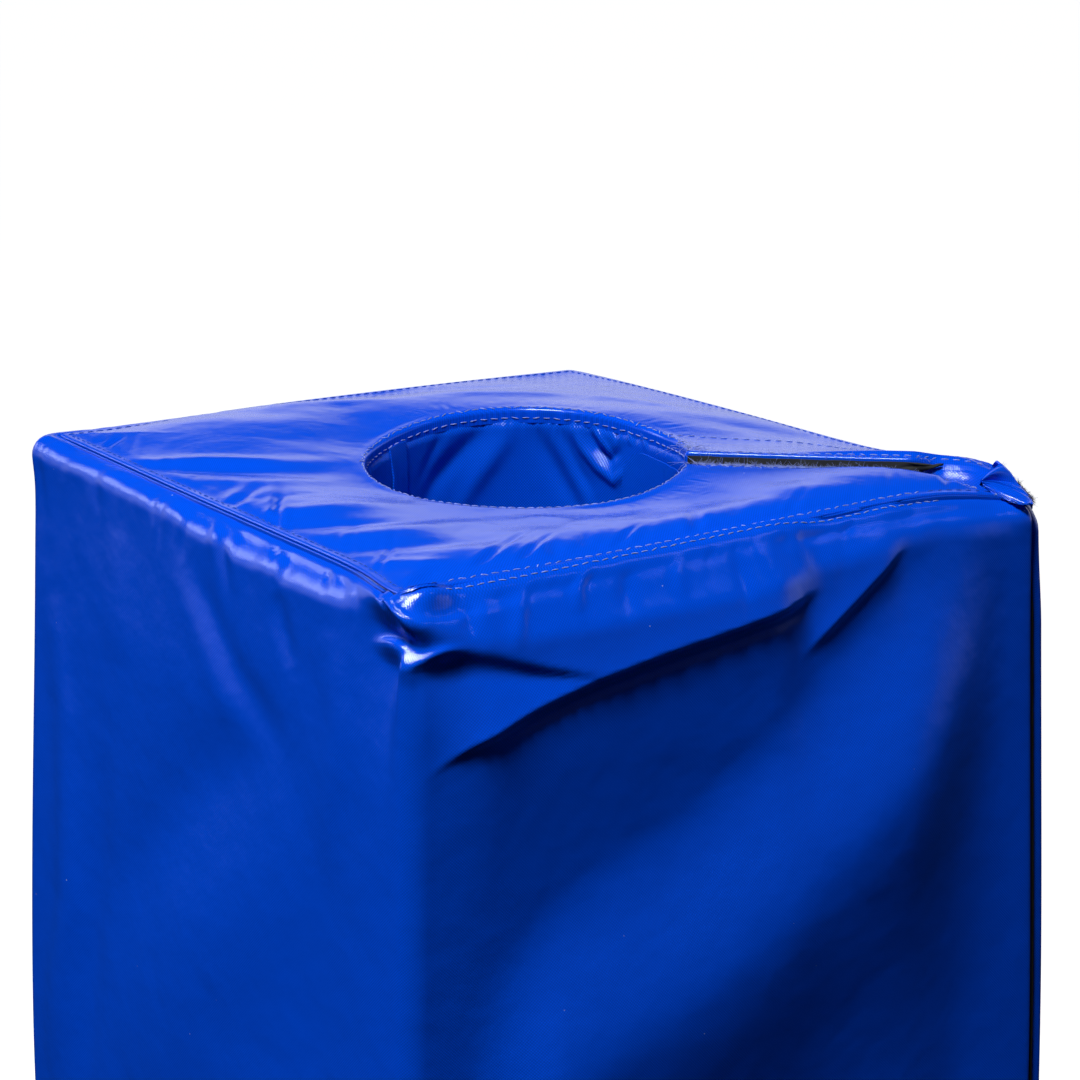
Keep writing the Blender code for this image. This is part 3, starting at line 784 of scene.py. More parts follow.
def side_cover_ring():
    """The whole side cover as one grid, clockwise from the slit, with its normals, the regions'
    spans of columns and the rows' depths. Its settled form moves by its relief along its normals,
    and is pressed flat at the pinches, by the exponential of minus the fourth power of the distance."""
    inset, height = cover_profile()
    reach = profile_reach(inset, height)
    below = PAD_HEIGHT - height
    parts, reliefs = [], []
    for half in HALVES:
        along, across = outline(half, inset)
        place = girth(half, along, across)
        points = world(along, across, height, half)
        relief = cover_relief(half, place, reach + 0 * place, below + 0 * place, height + 0 * place)
        step = -1 if half == "rear" else 1
        skip = 0 if half == "front" else 1
        parts.append(points[::step][skip:])
        reliefs.append(relief[::step][skip:])
    points = np.concatenate(parts)
    points = points - np.concatenate(reliefs)[..., None] * grid_normals(points)
    flat = np.array(PINCH_FACING)
    for point, reach_plan, reach_height in PINCHES:
        away = points - np.array(point)
        far = np.sum((away / np.array([reach_plan, reach_plan, reach_height])) ** 2, axis=-1)
        points = points - (bell(far) * (away @ flat))[..., None] * flat
    ends = np.cumsum([len(part) for part in parts])
    firsts = (0, ends[0] - 1, ends[1] - 1)
    spans = {half: slice(first, end) for half, first, end in zip(HALVES, firsts, ends)}
    return points, -grid_normals(points), spans, below


# Streaks of the top, as plan places on each crest, width and height
TOP_STROKES = (
    (
        ((-0.165, -0.042), (-0.145, -0.037), (-0.127, -0.027), (-0.103, -0.021), (-0.069, -0.016)),
        0.0065, 0.0014,
    ),
    (((-0.160, -0.052), (-0.127, -0.044), (-0.095, -0.034), (-0.069, -0.030)), 0.006, -0.0012),
    (((-0.131, -0.064), (-0.105, -0.056), (-0.082, -0.045), (-0.058, -0.038)), 0.0065, 0.0008),
    (((-0.110, -0.090), (-0.088, -0.078), (-0.066, -0.062), (-0.045, -0.060)), 0.006, -0.0004),
    (((-0.088, -0.114), (-0.069, -0.096), (-0.050, -0.080), (-0.023, -0.075)), 0.008, 0.0012),
    (((-0.080, -0.128), (-0.045, -0.108), (-0.010, -0.090)), 0.006, -0.0009),
    (
        ((-0.064, -0.142), (-0.026, -0.118), (-0.005, -0.104), (0.016, -0.094), (0.050, -0.076)),
        0.0095, 0.0015,
    ),
    (((-0.050, -0.158), (-0.020, -0.140), (0.010, -0.124), (0.040, -0.110)), 0.008, -0.0013),
    (((-0.034, -0.176), (-0.010, -0.162), (0.012, -0.156)), 0.006, 0.0009),
    (((0.018, -0.082), (0.040, -0.092), (0.058, -0.078), (0.073, -0.055)), 0.0065, 0.0011),
    (((0.060, -0.060), (0.086, -0.036), (0.141, -0.026)), 0.010, 0.0008),
    (
        ((-0.200, 0.000), (-0.171, 0.018), (-0.151, 0.044), (-0.128, 0.062), (-0.085, 0.085)),
        0.016, 0.0008,
    ),
    (((-0.125, 0.062), (-0.100, 0.074), (-0.065, 0.079)), 0.008, 0.0011),
    (((-0.060, 0.090), (-0.024, 0.097), (0.018, 0.108)), 0.009, 0.0011),
    (((-0.095, 0.105), (-0.040, 0.125), (0.010, 0.140)), 0.010, -0.0010),
    (((0.018, 0.112), (0.042, 0.106), (0.064, 0.098)), 0.008, 0.0010),
    (((0.050, 0.075), (0.090, 0.070), (0.130, 0.055)), 0.010, -0.0009),
)


def top_relief(along, across, edge_gap, rim_gap):
    """How far the top panel stands above its settled form: long streaks, small gathers at the
    outer seam and at the bore's rim, and slow waves."""
    slow = np.sin(along * 47 + 1.3 * np.sin(across * 31)) * np.sin(across * 39 + 0.8) * TOP_WAVE
    way = rim_gap / np.maximum(rim_gap + edge_gap, 1e-6)
    start = 0.075 * ease((-0.045 - along) / 0.085)
    crest = 1.4 + 1.1 * ease((along + 0.050) / 0.060)
    hump = TOP_HUMP * np.sin(math.pi * way**crest) * ease(0.5 - (across - start) / 0.06)
    left = (0.40 + 0.60 * ease((across + 0.050) / 0.062)) * (1 - 0.5 * ease((across - 0.016) / 0.030))
    hump = hump * (1 + (left - 1) * ease((-0.080 - along) / 0.035))
    seen = across + HUMP_SHIFT * hump
    total = sum(stroke(along, seen, path, width, height) for path, width, height in TOP_STROKES)
    turn = np.arctan2(across, along - BORE_SHIFT)
    rim_folds = pucker_set(SEED + 6, count=104, depth=0.0007, reach=0.014)
    gathers = puckers(turn * RIM_GIRTH, rim_gap, rim_folds) * GATHER_SHARE
    place = np.where(across < 0, ROOT2 * along, 2 * SIDE - ROOT2 * along)
    spikes = puckers(place, edge_gap, pucker_set(SEED + 5, count=70, depth=0.0013, reach=0.034))
    spikes = spikes * (0.25 + 0.75 * ease(0.5 - across / 0.02))
    free = (total + (slow + hump)) * (ease(edge_gap / 0.008) * ease(rim_gap / 0.004))
    spikes = spikes * ease(edge_gap / 0.004) * ease(rim_gap / 0.02)
    return free + gathers * ease(rim_gap / 0.0015) + spikes


def panel_relief(along, across, half):
    """The top's relief by plan position, which dies away beside the slit."""
    edge_gap = HALF_WIDTH - np.maximum(np.abs(along + across), np.abs(across - along)) / ROOT2
    edge_gap = np.maximum(edge_gap - SHOULDER_RADIUS - BEAD_RADIUS, 0.0)
    rim_gap = np.maximum(np.hypot(along - BORE_SHIFT, across) - BORE_RADIUS - RIM_ROLL, 0.0)
    relief = top_relief(along, across, edge_gap, rim_gap)
    if half == "flex":
        return relief
    slit = np.abs(across) - SLIT_HALF_GAP - SLIT_ROLL
    return relief * np.where(along > BORE_SHIFT, ease(slit / 0.006), 1.0)


def panel_grid(half):
    """Plan places and depths of an end panel, columns round the edge and rows outwards: up the
    bore as a hem, over the rim, out to the seam, and round the bead that stands a little proud."""
    roll = np.linspace(0.0, math.pi / 2, 6)
    bead = np.radians([0, 30, 60, 90, 120, 150])
    gap = SLIT_HALF_GAP + SLIT_ROLL
    inset = SHOULDER_RADIUS + CLEARANCE + BEAD_RADIUS * np.concatenate([[3.0], 1 - np.sin(bead), [0.6]])
    outer = outline(half, inset, gap)
    columns = len(outer[0])
    radius = BORE_RADIUS + RIM_ROLL * np.concatenate([[0.0, 0.0], 1 - np.cos(roll)])
    hem = [RIM_ROLL + HEM_DEPTH, RIM_ROLL + HEM_DEPTH / 2]
    inner_sunk = np.concatenate([hem, RIM_ROLL * (1 - np.sin(roll))])
    outer_sunk = [[BEAD_RISE], BEAD_RADIUS * (1 - np.cos(bead)), [BEAD_RISE + 2.4 * BEAD_RADIUS]]
    outer_sunk = np.concatenate(outer_sunk) - BEAD_RISE
    turn = np.stack([bore_turn(half, columns, r, gap) for r in radius], axis=1)
    inner = (BORE_SHIFT + radius * np.cos(turn), radius * np.sin(turn))
    share = np.linspace(0.0, 1.0, PANEL_ROWS + 1)[1:-1] ** 1.1
    along, across = (
        np.concatenate([near, near[:, -1:] + (far[:, :1] - near[:, -1:]) * share, far], axis=1)
        for near, far in zip(inner, outer)
    )
    sunk = np.concatenate([inner_sunk, 0 * share, outer_sunk]) + 0 * along
    return along, across, sunk


def slit_edge_columns(along, across, sunk, half):
    """Adds the columns that roll over the slit's edge and hang down as a flange."""
    roll = np.linspace(math.pi / 2, 0.0, FLANGE_COLUMNS)[1:]
    fall = np.concatenate([[SLIT_ROLL + SLIT_FLANGE], (SLIT_ROLL * (1 - np.sin(roll)))[::-1]])
    reach = np.concatenate([[SLIT_ROLL], (SLIT_ROLL * np.cos(roll))[::-1]])
    return (
        np.concatenate([along[:1] + 0 * reach[:, None], along]),
        np.concatenate([across[:1] - SENSE[half] * reach[:, None], across]),
        np.concatenate([sunk[:1] + fall[:, None], sunk]),
    )


def block_quads(shape):
    """The six sides of a block of points, all facing out when the block's axes are right-handed."""
    index = np.arange(np.prod(shape)).reshape(shape)
    pairs = ((index[:, :, -1], index[:, :, 0]), (index[-1], index[0]), (index[:, 0], index[:, -1]))
    return np.concatenate([side for far, near in pairs for side in (cells(far), cells(near)[:, ::-1])])


def block_piece(name, points, finish):
    """Makes one closed solid from a block of points: (columns, rows, levels, 3)."""
    used, faces = np.unique(block_quads(points.shape[:3]), return_inverse=True)
    points = points.reshape(-1, 3)[used]
    faces = faces.reshape(-1, 4)
    a, b, c = (points[faces[:, k]] for k in (0, 1, 2))
    if np.einsum("ij,ij->", a, np.cross(b, c)) < 0:
        faces = faces[:, ::-1]
    made = link_mesh(name, points, faces, finish)
    made.data.set_sharp_from_angle(angle=math.radians(40))
    return made


def foam_points(half):
    """The foam block under the cloth, as (columns, rows from the bore outwards, levels). It follows
    the cover's hollows, and stays a little below the skin everywhere."""
    turn = np.linspace(0.0, math.pi / 2, 5)
    inset = SHOULDER_RADIUS * (1 - np.cos(turn))
    rise = SHOULDER_RADIUS * np.sin(turn)
    straight = np.concatenate(
        [
            np.linspace(SHOULDER_RADIUS, FOAM_ROWS_END, 7),
            np.linspace(FOAM_ROWS_END, UPPER_ROWS_START, 26)[1:-1],
            np.linspace(UPPER_ROWS_START, PAD_HEIGHT - SHOULDER_RADIUS, 41),
        ]
    )[1:-1]
    level = 0 * straight
    inset = np.concatenate([inset[::-1], level, inset])
    height = np.concatenate([(SHOULDER_RADIUS - rise)[::-1], straight, PAD_HEIGHT - SHOULDER_RADIUS + rise])
    out = np.concatenate([np.cos(turn)[::-1], level + 1, np.cos(turn)])
    up = np.concatenate([-np.sin(turn)[::-1], level, np.sin(turn)])
    gap = SLIT_HALF_GAP + FABRIC + 2 * CLEARANCE
    along, across = outline(half, inset + FOAM_GAP * out, gap, coarse=3)
    radius = BORE_RADIUS + BORE_FOAM_GAP
    angle = bore_turn(half, len(along), radius, gap)[:, None]
    bore_along, bore_across = BORE_SHIFT + radius * np.cos(angle), radius * np.sin(angle)
    share = np.concatenate([[0.0, 0.07, 0.18, 0.33, 0.5], np.linspace(0.62, 1.0, 14)])[None, :, None]
    points = world(
        bore_along[:, None] + (along - bore_along)[:, None] * share,
        bore_across[:, None] + (across - bore_across)[:, None] * share,
        height - FOAM_GAP * up,
        half,
    )
    place = girth(half, along, across)
    below = np.maximum(PAD_HEIGHT - height, 0.0) + 0 * place
    curved = SHOULDER_RADIUS * np.arccos(1 - np.minimum(below / SHOULDER_RADIUS, 1.0))
    reach = curved + np.maximum(below - SHOULDER_RADIUS, 0.0)
    relief = cover_relief(half, place, reach, below, height + 0 * place)
    skin = points[:, -1]
    skin += SENSE[half] * grid_normals(skin) * np.minimum(relief, 0.0)[..., None]
    return points


def liner_levels():
    """Heights of the lining's rows, close together at the top, where it is gathered."""
    top = PAD_HEIGHT - RIM_ROLL
    near = top - LINER_FINE_DEPTH * np.linspace(1.0, 0.0, 56)
    low = np.linspace(RIM_ROLL, LINER_ROWS_END, 14)
    middle = np.linspace(LINER_ROWS_END, near[0], 46)[1:-1]
    return np.concatenate([low, middle, near])


def hem_room(below):
    """How far the lining steps back behind the hem of the end panel, by its depth."""
    return BACKING * (1 - ease((below - RIM_ROLL - HEM_DEPTH + 0.0006) / HEM_FADE))


# Folds of the lining, as angle from the slit in degrees and depth below the top, width and height
LINER_STROKES = (
    (((79, 0.004), (78.5, 0.010), (75, 0.016), (69, 0.022), (62, 0.026), (55, 0.020)), 0.0021, 0.0020),
    (((74, 0.006), (70, 0.014), (64, 0.018), (58, 0.012)), 0.0024, -0.0022),
    (((72, 0.004), (69, 0.009), (65, 0.014), (62, 0.019)), 0.0012, 0.0013),
    (((86, 0.003), (84, 0.010), (78, 0.024), (70, 0.034)), 0.0032, -0.0012),
    (((110, 0.002), (117, 0.012), (133, 0.026), (142, 0.040)), 0.0050, -0.0020),
    (((103, 0.003), (106, 0.014), (118, 0.030), (126, 0.044)), 0.0045, 0.0016),
    (((97, 0.003), (92, 0.014), (84, 0.030), (76, 0.044)), 0.0046, -0.0019),
    (((91, 0.008), (84, 0.018), (76, 0.034), (68, 0.050)), 0.0030, 0.0010),
    (((128, 0.003), (134, 0.012), (142, 0.026)), 0.0030, -0.0009),
    (((62, 0.0045), (61, 0.0085)), 0.0014, -0.0016),
    (((56, 0.004), (54, 0.009)), 0.0010, 0.0010),
    (((50, 0.003), (46, 0.008)), 0.0010, 0.0010),
    (((164, 0.003), (158, 0.020), (152, 0.045)), 0.0035, 0.0009),
    (((20, 0.003), (26, 0.020), (36, 0.040)), 0.0040, 0.0010),
)


def liner_relief(turn, below):
    """How far the lining stands in from the bore: slanting folds, and gathers under the rim."""
    degrees = np.degrees(turn) % 360
    scale = BORE_RADIUS * math.pi / 180
    total = np.zeros(np.broadcast_shapes(np.shape(turn), np.shape(below)))
    for path, width, height in LINER_STROKES:
        plan = [(angle * scale, depth) for angle, depth in path]
        total += stroke(degrees * scale, below, plan, width, height)
    fine = np.sin(turn * 97 + 1.5 * np.sin(turn * 13)) + 0.6 * np.sin(turn * 151 + 1.0)
    amount = 0.4 + 0.6 * bell((degrees - 84) / 16)
    hang = ease((below - 0.005) / 0.002) * np.exp(-np.maximum(below - 0.006, 0.0) / 0.0045)
    total = total + LINER_GATHER * fine * amount * hang
    slow = LINER_WAVE * np.sin(turn * 7 + below * 30)
    return total + slow * ease(below / 0.03) * ease((PAD_HEIGHT - below) / 0.03)


def bore_grid(half, turn, height, stand_in):
    """Points on the bore at angles from the slit, standing in from its wall by a distance."""
    radius = BORE_RADIUS - stand_in
    return world(BORE_SHIFT + radius * np.cos(turn), radius * np.sin(turn), height, half)


def liner_grid(half):
    """One region's part of the lining, with its flat places for the weave."""
    height = liner_levels()[None, :]
    turn = bore_turn(half, LINER_COLUMNS[half], BORE_RADIUS, SLIT_HALF_GAP)[:, None]
    below = PAD_HEIGHT - height
    stand_in = liner_relief(turn, below) - hem_room(below) - hem_room(height)
    uv = np.stack(np.broadcast_arrays(turn * BORE_RADIUS, height), axis=-1)
    return bore_grid(half, turn, height, stand_in), uv


def lap_grid():
    """The end of the lining that lies over the other one, with its cut edge."""
    height = np.linspace(RIM_ROLL + HEM_DEPTH, PAD_HEIGHT - RIM_ROLL - HEM_DEPTH * 0.6, 150)[None, :]
    turn = LAP_ANGLE + np.linspace(0.0, LAP_WIDTH / BORE_RADIUS, 9)[:, None]
    below = PAD_HEIGHT - height
    lie = BACKING + LAP_WAVE * np.sin(height * 90) * ease((LAP_ANGLE + 0.08 - turn) / 0.08)
    stand_in = liner_relief(turn, below) - hem_room(below) - hem_room(height) + lie
    uv = np.stack(np.broadcast_arrays(turn * BORE_RADIUS + 0.0005, height), axis=-1)
    return bore_grid("flex", turn, height, stand_in), uv


def flap_grid():
    """The flap beside the slit: its free upper corner is rounded, and it bows off the lining."""
    reach = np.linspace(0.0, 1.0, 41)[:, None] ** 0.8 * FLAP_WIDTH
    bend = np.clip((reach - FLAP_WIDTH + FLAP_CORNER) / FLAP_CORNER, 0.0, 1.0)
    top = PAD_HEIGHT - FLAP_DROP - FLAP_CORNER * (1 - np.sqrt(1 - bend**2))
    rows = np.concatenate([np.linspace(0.0, 0.95, 50), np.linspace(0.95, 1.0, 31)[1:]])[None, :]
    height = FLAP_DROP + (top - FLAP_DROP) * rows
    turn = math.asin(SLIT_HALF_GAP / BORE_RADIUS) + reach / BORE_RADIUS
    below = PAD_HEIGHT - height
    bow = FLAP_BOW * np.sin(math.pi * reach / FLAP_WIDTH)
    bow = bow + FLAP_WAVE * ease(reach / FLAP_WIDTH) * np.sin(height * 43)
    stand_in = np.maximum(liner_relief(turn, below), 0.0) + FABRIC + 2 * CLEARANCE + bow + FLAP_REST
    uv = np.stack([reach + 0 * height, height], axis=-1)
    return bore_grid("rear", turn, height, stand_in), uv


def slit_end(inset):
    """Along-position where the slit's cloth meets the rounded edge of the side cover."""
    nose = edge_radius(NOSE_RADIUS, inset)
    return ROOT2 * (HALF_WIDTH - inset - nose) - SLIT_HALF_GAP - nose - CLEARANCE


def slit_cloth_grid(half):
    """The cloth that faces the foam inside the slit, from the bore to the slit corner."""
    sunk = SLIT_ROLL + SLIT_FLANGE
    fine = SLIT_FINE_DEPTH
    near = np.concatenate([np.linspace(fine, sunk + CLEARANCE, 16), [sunk, sunk - SLIT_TUCK]])
    low = np.linspace(sunk + CLEARANCE, fine, 8)
    middle = np.linspace(fine, PAD_HEIGHT - fine, 40)[1:-1]
    height = np.concatenate([low, middle, PAD_HEIGHT - near])[None, :]
    inset = np.maximum(SHOULDER_RADIUS - np.minimum(height, PAD_HEIGHT - height), 0.0)
    inset = SHOULDER_RADIUS - np.sqrt(np.maximum(SHOULDER_RADIUS**2 - inset**2, 0.0))
    end = slit_end(inset)
    share = np.linspace(0.0, 1.0, 49)[:, None]
    start = BORE_SHIFT + BORE_RADIUS + FABRIC + CLEARANCE
    along = start + (end - start) * share
    wave = TAPE_WAVE * (1 + np.sin(along * 210 + 3 * np.sin(height * 11)))
    behind = FABRIC * ease((height - PAD_HEIGHT + sunk + CLEARANCE) / CLEARANCE)
    points = world(along, SENSE[half] * (SLIT_HALF_GAP + wave + behind), height, half)
    return points, np.stack([along, height + 0 * along], axis=-1)


def tape_grid(half, along, height):
    """A strip of tape on one wall of the slit, from the plan places and heights of its points: a
    face with slow waves, the same on both walls, so that the tapes lie on each other."""
    wave = TAPE_WAVE * np.sin(along * 330 + 5 * np.sin(height * 60))
    points = world(along, SENSE[half] * CLEARANCE / 2 + wave, height, half)
    return points, np.stack([along, height], axis=-1)


def smooth_path(points, count):
    """Places at even steps along a path of control points, rounded at the turns."""
    points = np.array(points, float)
    run = run_lengths(points)
    wanted = np.linspace(0.0, run[-1], count)
    shifts = np.linspace(-1, 1, 7) * run[-1] / len(points) / 2.4
    places = np.clip(wanted + shifts[:, None], 0.0, run[-1])
    line = np.mean([placed_on(place, run, points) for place in places], axis=0)
    line[0], line[-1] = points[0], points[-1]
    return line


def bunch_grid():
    """The bunched cloth: folds that fan out from one point to an uneven outline, as a rectified sine
    of the way along it, with fine creases at its end, then a short skirt that falls back on to the
    rear half's top. Columns run along the outline."""
    rim = smooth_path(BUNCH_CURVE, BUNCH_COLUMNS)
    share = np.linspace(0.0, 1.0, BUNCH_COLUMNS)[:, None]
    reach = np.linspace(0.06, 1.0, BUNCH_ROWS)[None, :]
    point = np.array(BUNCH_POINT)
    fan = point + (rim[:, None] - point) * reach[..., None]
    way = rim[:, None] - point + 0 * fan
    sideways = unit(np.cross(np.gradient(rim, axis=0)[:, None] + 0 * fan, way))
    swirl = share * BUNCH_FOLDS + 0.16 * np.sin(reach * 3.4) + 0.10 * np.sin(share * 17)
    ridge = np.abs(np.sin(math.pi * swirl)) ** 0.75
    uneven = 0.45 + 0.55 * np.sin(share * 9 + 1.2) ** 2
    amount = BUNCH_HEIGHT * np.sin(math.pi * reach**0.8) ** 0.8 * uneven
    amount = amount * ease((0.62 - share) / 0.16) + 0.0002 * np.sin(reach * 9) * reach
    creases = 0.00016 * reach * np.sin(share * 98 + 1.6 * np.sin(reach * 5)) * ease((share - 0.58) / 0.08)
    fan = fan + sideways * (amount * ridge + creases - BUNCH_SAG * reach * (1 - reach))[..., None]
    over = np.linspace(0.0, 1.0, 15)[None, 1:]
    foot = rim.copy()
    foot[:, 1] = 0.019 - 0.015 * share[:, 0] ** 2
    foot[:, 0] = rim[:, 0] - 0.004 + 0.006 * share[:, 0]
    foot[:, 2] = rim[:, 2] - 0.0030 - 0.0020 * share[:, 0]
    skirt = rim[:, None] + (foot - rim)[:, None] * over[..., None]
    skirt[..., 2] += 0.0016 * np.sin(math.pi * over) - 0.0030 * over**3
    points = np.concatenate([fan, skirt], axis=1)
    level = np.concatenate([reach * 0.02, 0.02 + over * 0.02], axis=1) + 0 * share
    along, across, height = np.moveaxis(points, -1, 0)
    uv = np.stack([share * 0.03 + 0 * level, level], axis=-1)
    return on_axes(along, across, PAD_HEIGHT + height), uv


def top_point(along, across, half):
    """Points on the top panel's outer face, with its relief."""
    points = world(along, across, PAD_HEIGHT, half)
    points[..., 2] += panel_relief(along, across, half)
    return points


def stitch_template(length, radius):
    """A short capsule along its own first axis, bowed by a parabola: its points and its faces."""
    station = np.array([-0.72, 0.0, 0.72])[:, None]
    girths = radius * np.array([0.85, 1.0, 0.85])[:, None]
    angle = np.arange(5) * 2 * math.pi / 5
    bow = radius * 0.9 * (1 - station**2)
    ring = [station * length / 2 + 0 * angle, girths * np.cos(angle), girths * np.sin(angle) + bow]
    ring = np.stack(ring, axis=-1).reshape(-1, 3)
    tips = np.array([[-length / 2, 0.0, -radius * 0.4], [length / 2, 0.0, -radius * 0.4]])
    count = len(angle)
    index = np.arange(3 * count).reshape(3, count)
    after = np.roll(index, -1, axis=1)
    bands = np.stack([index[:-1], index[1:], after[1:], after[:-1]], -1).reshape(-1, 4)[:, ::-1]
    first = np.stack([index[0] * 0 + 3 * count, index[0], after[0], after[0]], -1)[:, ::-1]
    last = np.stack([index[2] * 0 + 3 * count + 1, after[2], index[2], index[2]], -1)[:, ::-1]
    faces = [tuple(face) for face in bands]
    faces += [tuple(dict.fromkeys(face)) for face in np.concatenate([first, last]).tolist()]
    return np.concatenate([ring, tips]), faces


def rows_between(grid, normals, reach, wanted):
    """Points and normals of a grid at a place between its rows, given each row's own reach."""
    order = np.argsort(reach)
    low = np.clip(np.searchsorted(reach[order], wanted) - 1, 0, len(reach) - 2)
    first, second = order[low], order[low + 1]
    share = (wanted - reach[first]) / (reach[second] - reach[first])
    return (
        grid[:, first] * (1 - share) + grid[:, second] * share,
        normals[:, first] * (1 - share) + normals[:, second] * share,
    )


def run_lengths(points):
    """Way along a line of points to each of them."""
    return np.concatenate([[0.0], np.cumsum(np.linalg.norm(np.diff(points, axis=0), axis=-1))])


def placed_on(wanted, run, values):
    """Vectors at wanted places between those that are known along a run."""
    return np.stack([np.interp(wanted, run, values[:, k]) for k in range(3)], axis=-1)


def spaced(points, normals, pitch, seed, stray):
    """Places at even steps along a line: centres, directions, astray by a share, and normals."""
    run = run_lengths(points)
    count = max(int(run[-1] / pitch), 1)
    wanted = (np.arange(count) + 0.5) * run[-1] / count
    draw = np.random.default_rng(seed)
    centre = placed_on(wanted, run, points)
    ahead = placed_on(wanted + pitch * 0.3, run, points)
    normal = unit(placed_on(wanted, run, normals))
    along = ahead - centre + stray * pitch * draw.normal(0, 1, centre.shape)
    along -= normal * np.sum(along * normal, axis=-1, keepdims=True)
    return centre, unit(along), normal


def stitch_piece(name, lines, finish, length, radius):
    """Joins the stitches of several lines into one mesh of small closed capsules."""
    points, faces = stitch_template(length, radius)
    centre, along, normal = (np.concatenate([line[k] for line in lines]) for k in range(3))
    side = np.cross(normal, along)
    placed = (
        centre[:, None]
        + along[:, None] * points[None, :, :1]
        + side[:, None] * points[None, :, 1:2]
        + normal[:, None] * points[None, :, 2:]
    ).reshape(-1, 3)
    all_faces = []
    for size in (3, 4):
        chosen = np.array([face for face in faces if len(face) == size])
        shifted = chosen[None] + (np.arange(len(centre)) * len(points))[:, None, None]
        all_faces += shifted.reshape(-1, size).tolist()
    return link_mesh(name, placed, all_faces, finish)


def strand_piece(name, start, way, curl, length, radius, finish, steps=5, sides=3):
    """Many loose strands in one mesh: each runs from its start along its way, bends towards its
    curl by the square of the distance, and thins to a blunt tip."""
    share = np.linspace(0.0, 1.0, steps)
    line = (
        start[:, None]
        + way[:, None] * (share * length[:, None])[..., None]
        + curl[:, None] * (share**2 * length[:, None])[..., None]
    )
    tangent = unit(np.gradient(line, axis=1))
    across = unit(np.cross(tangent, np.array([0.31, 0.52, 0.79])))
    other = np.cross(tangent, across)
    angle = np.arange(sides) * 2 * math.pi / sides
    girths = radius * (1 - 0.6 * share)
    ring = (
        line[:, :, None]
        + across[:, :, None] * (np.cos(angle) * girths[:, None])[None, ..., None]
        + other[:, :, None] * (np.sin(angle) * girths[:, None])[None, ..., None]
    )
    count = len(start)
    index = np.arange(count * steps * sides).reshape(count, steps, sides)
    after = np.roll(index, -1, axis=2)
    bands = np.stack([index[:, :-1], after[:, :-1], after[:, 1:], index[:, 1:]], -1).reshape(-1, 4)
    caps = np.concatenate([index[:, 0, ::-1], index[:, -1]])
    return link_mesh(name, ring.reshape(-1, 3), bands.tolist() + caps.tolist(), finish)


def fill(tree, made, inputs):
    """Sets or links a shader node's inputs."""
    for key, value in inputs.items():
        if isinstance(value, bpy.types.NodeSocket):
            tree.links.new(value, made.inputs[key])
        else:
            made.inputs[key].default_value = value


def node(tree, kind, inputs, **settings):
    """Adds a shader node with its settings and its inputs."""
    made = tree.nodes.new(kind)
    for key, value in settings.items():
        setattr(made, key, value)
    fill(tree, made, inputs)
    return made


def maths(tree, operation, *values):
    """A Math node's result."""
    return node(tree, "ShaderNodeMath", dict(enumerate(values)), operation=operation).outputs[0]


def mixed(tree, factor, first, second):
    """A colour between two others."""
    inputs = {"Factor": factor, 6: first, 7: second}
    return node(tree, "ShaderNodeMix", inputs, data_type="RGBA").outputs[2]


def bumped(tree, height, distance, **normal):
    """A Bump node's normal, over another one if given as Normal."""
    return node(tree, "ShaderNodeBump", {"Height": height, "Distance": distance, **normal}).outputs[0]


def shade(colour, share, lift=0.0):
    """A colour times a share, with a lift, kept within white."""
    return [min(c * share + lift, 1.0) for c in colour[:3]] + [1.0]


def noise(tree, vector, scale, detail=2.0, roughness=0.5):
    """A Noise Texture's grey value."""
    inputs = {"Vector": vector, "Scale": scale, "Detail": detail, "Roughness": roughness}
    return node(tree, "ShaderNodeTexNoise", inputs).outputs["Fac"]


def ranged(tree, value, low, high, to_low=0.0, to_high=1.0):
    """Maps a value's range onto another, clamped."""
    inputs = {"Value": value, "From Min": low, "From Max": high, "To Min": to_low, "To Max": to_high}
    return node(tree, "ShaderNodeMapRange", inputs).outputs[0]


def new_material(name):
    """A node material, its tree, its shader and the object coordinates in it."""
    made = bpy.data.materials.new(name)
    made.use_nodes = True
    tree = made.node_tree
    where = node(tree, "ShaderNodeTexCoord", {}).outputs["Object"]
    return made, tree, tree.nodes["Principled BSDF"], where


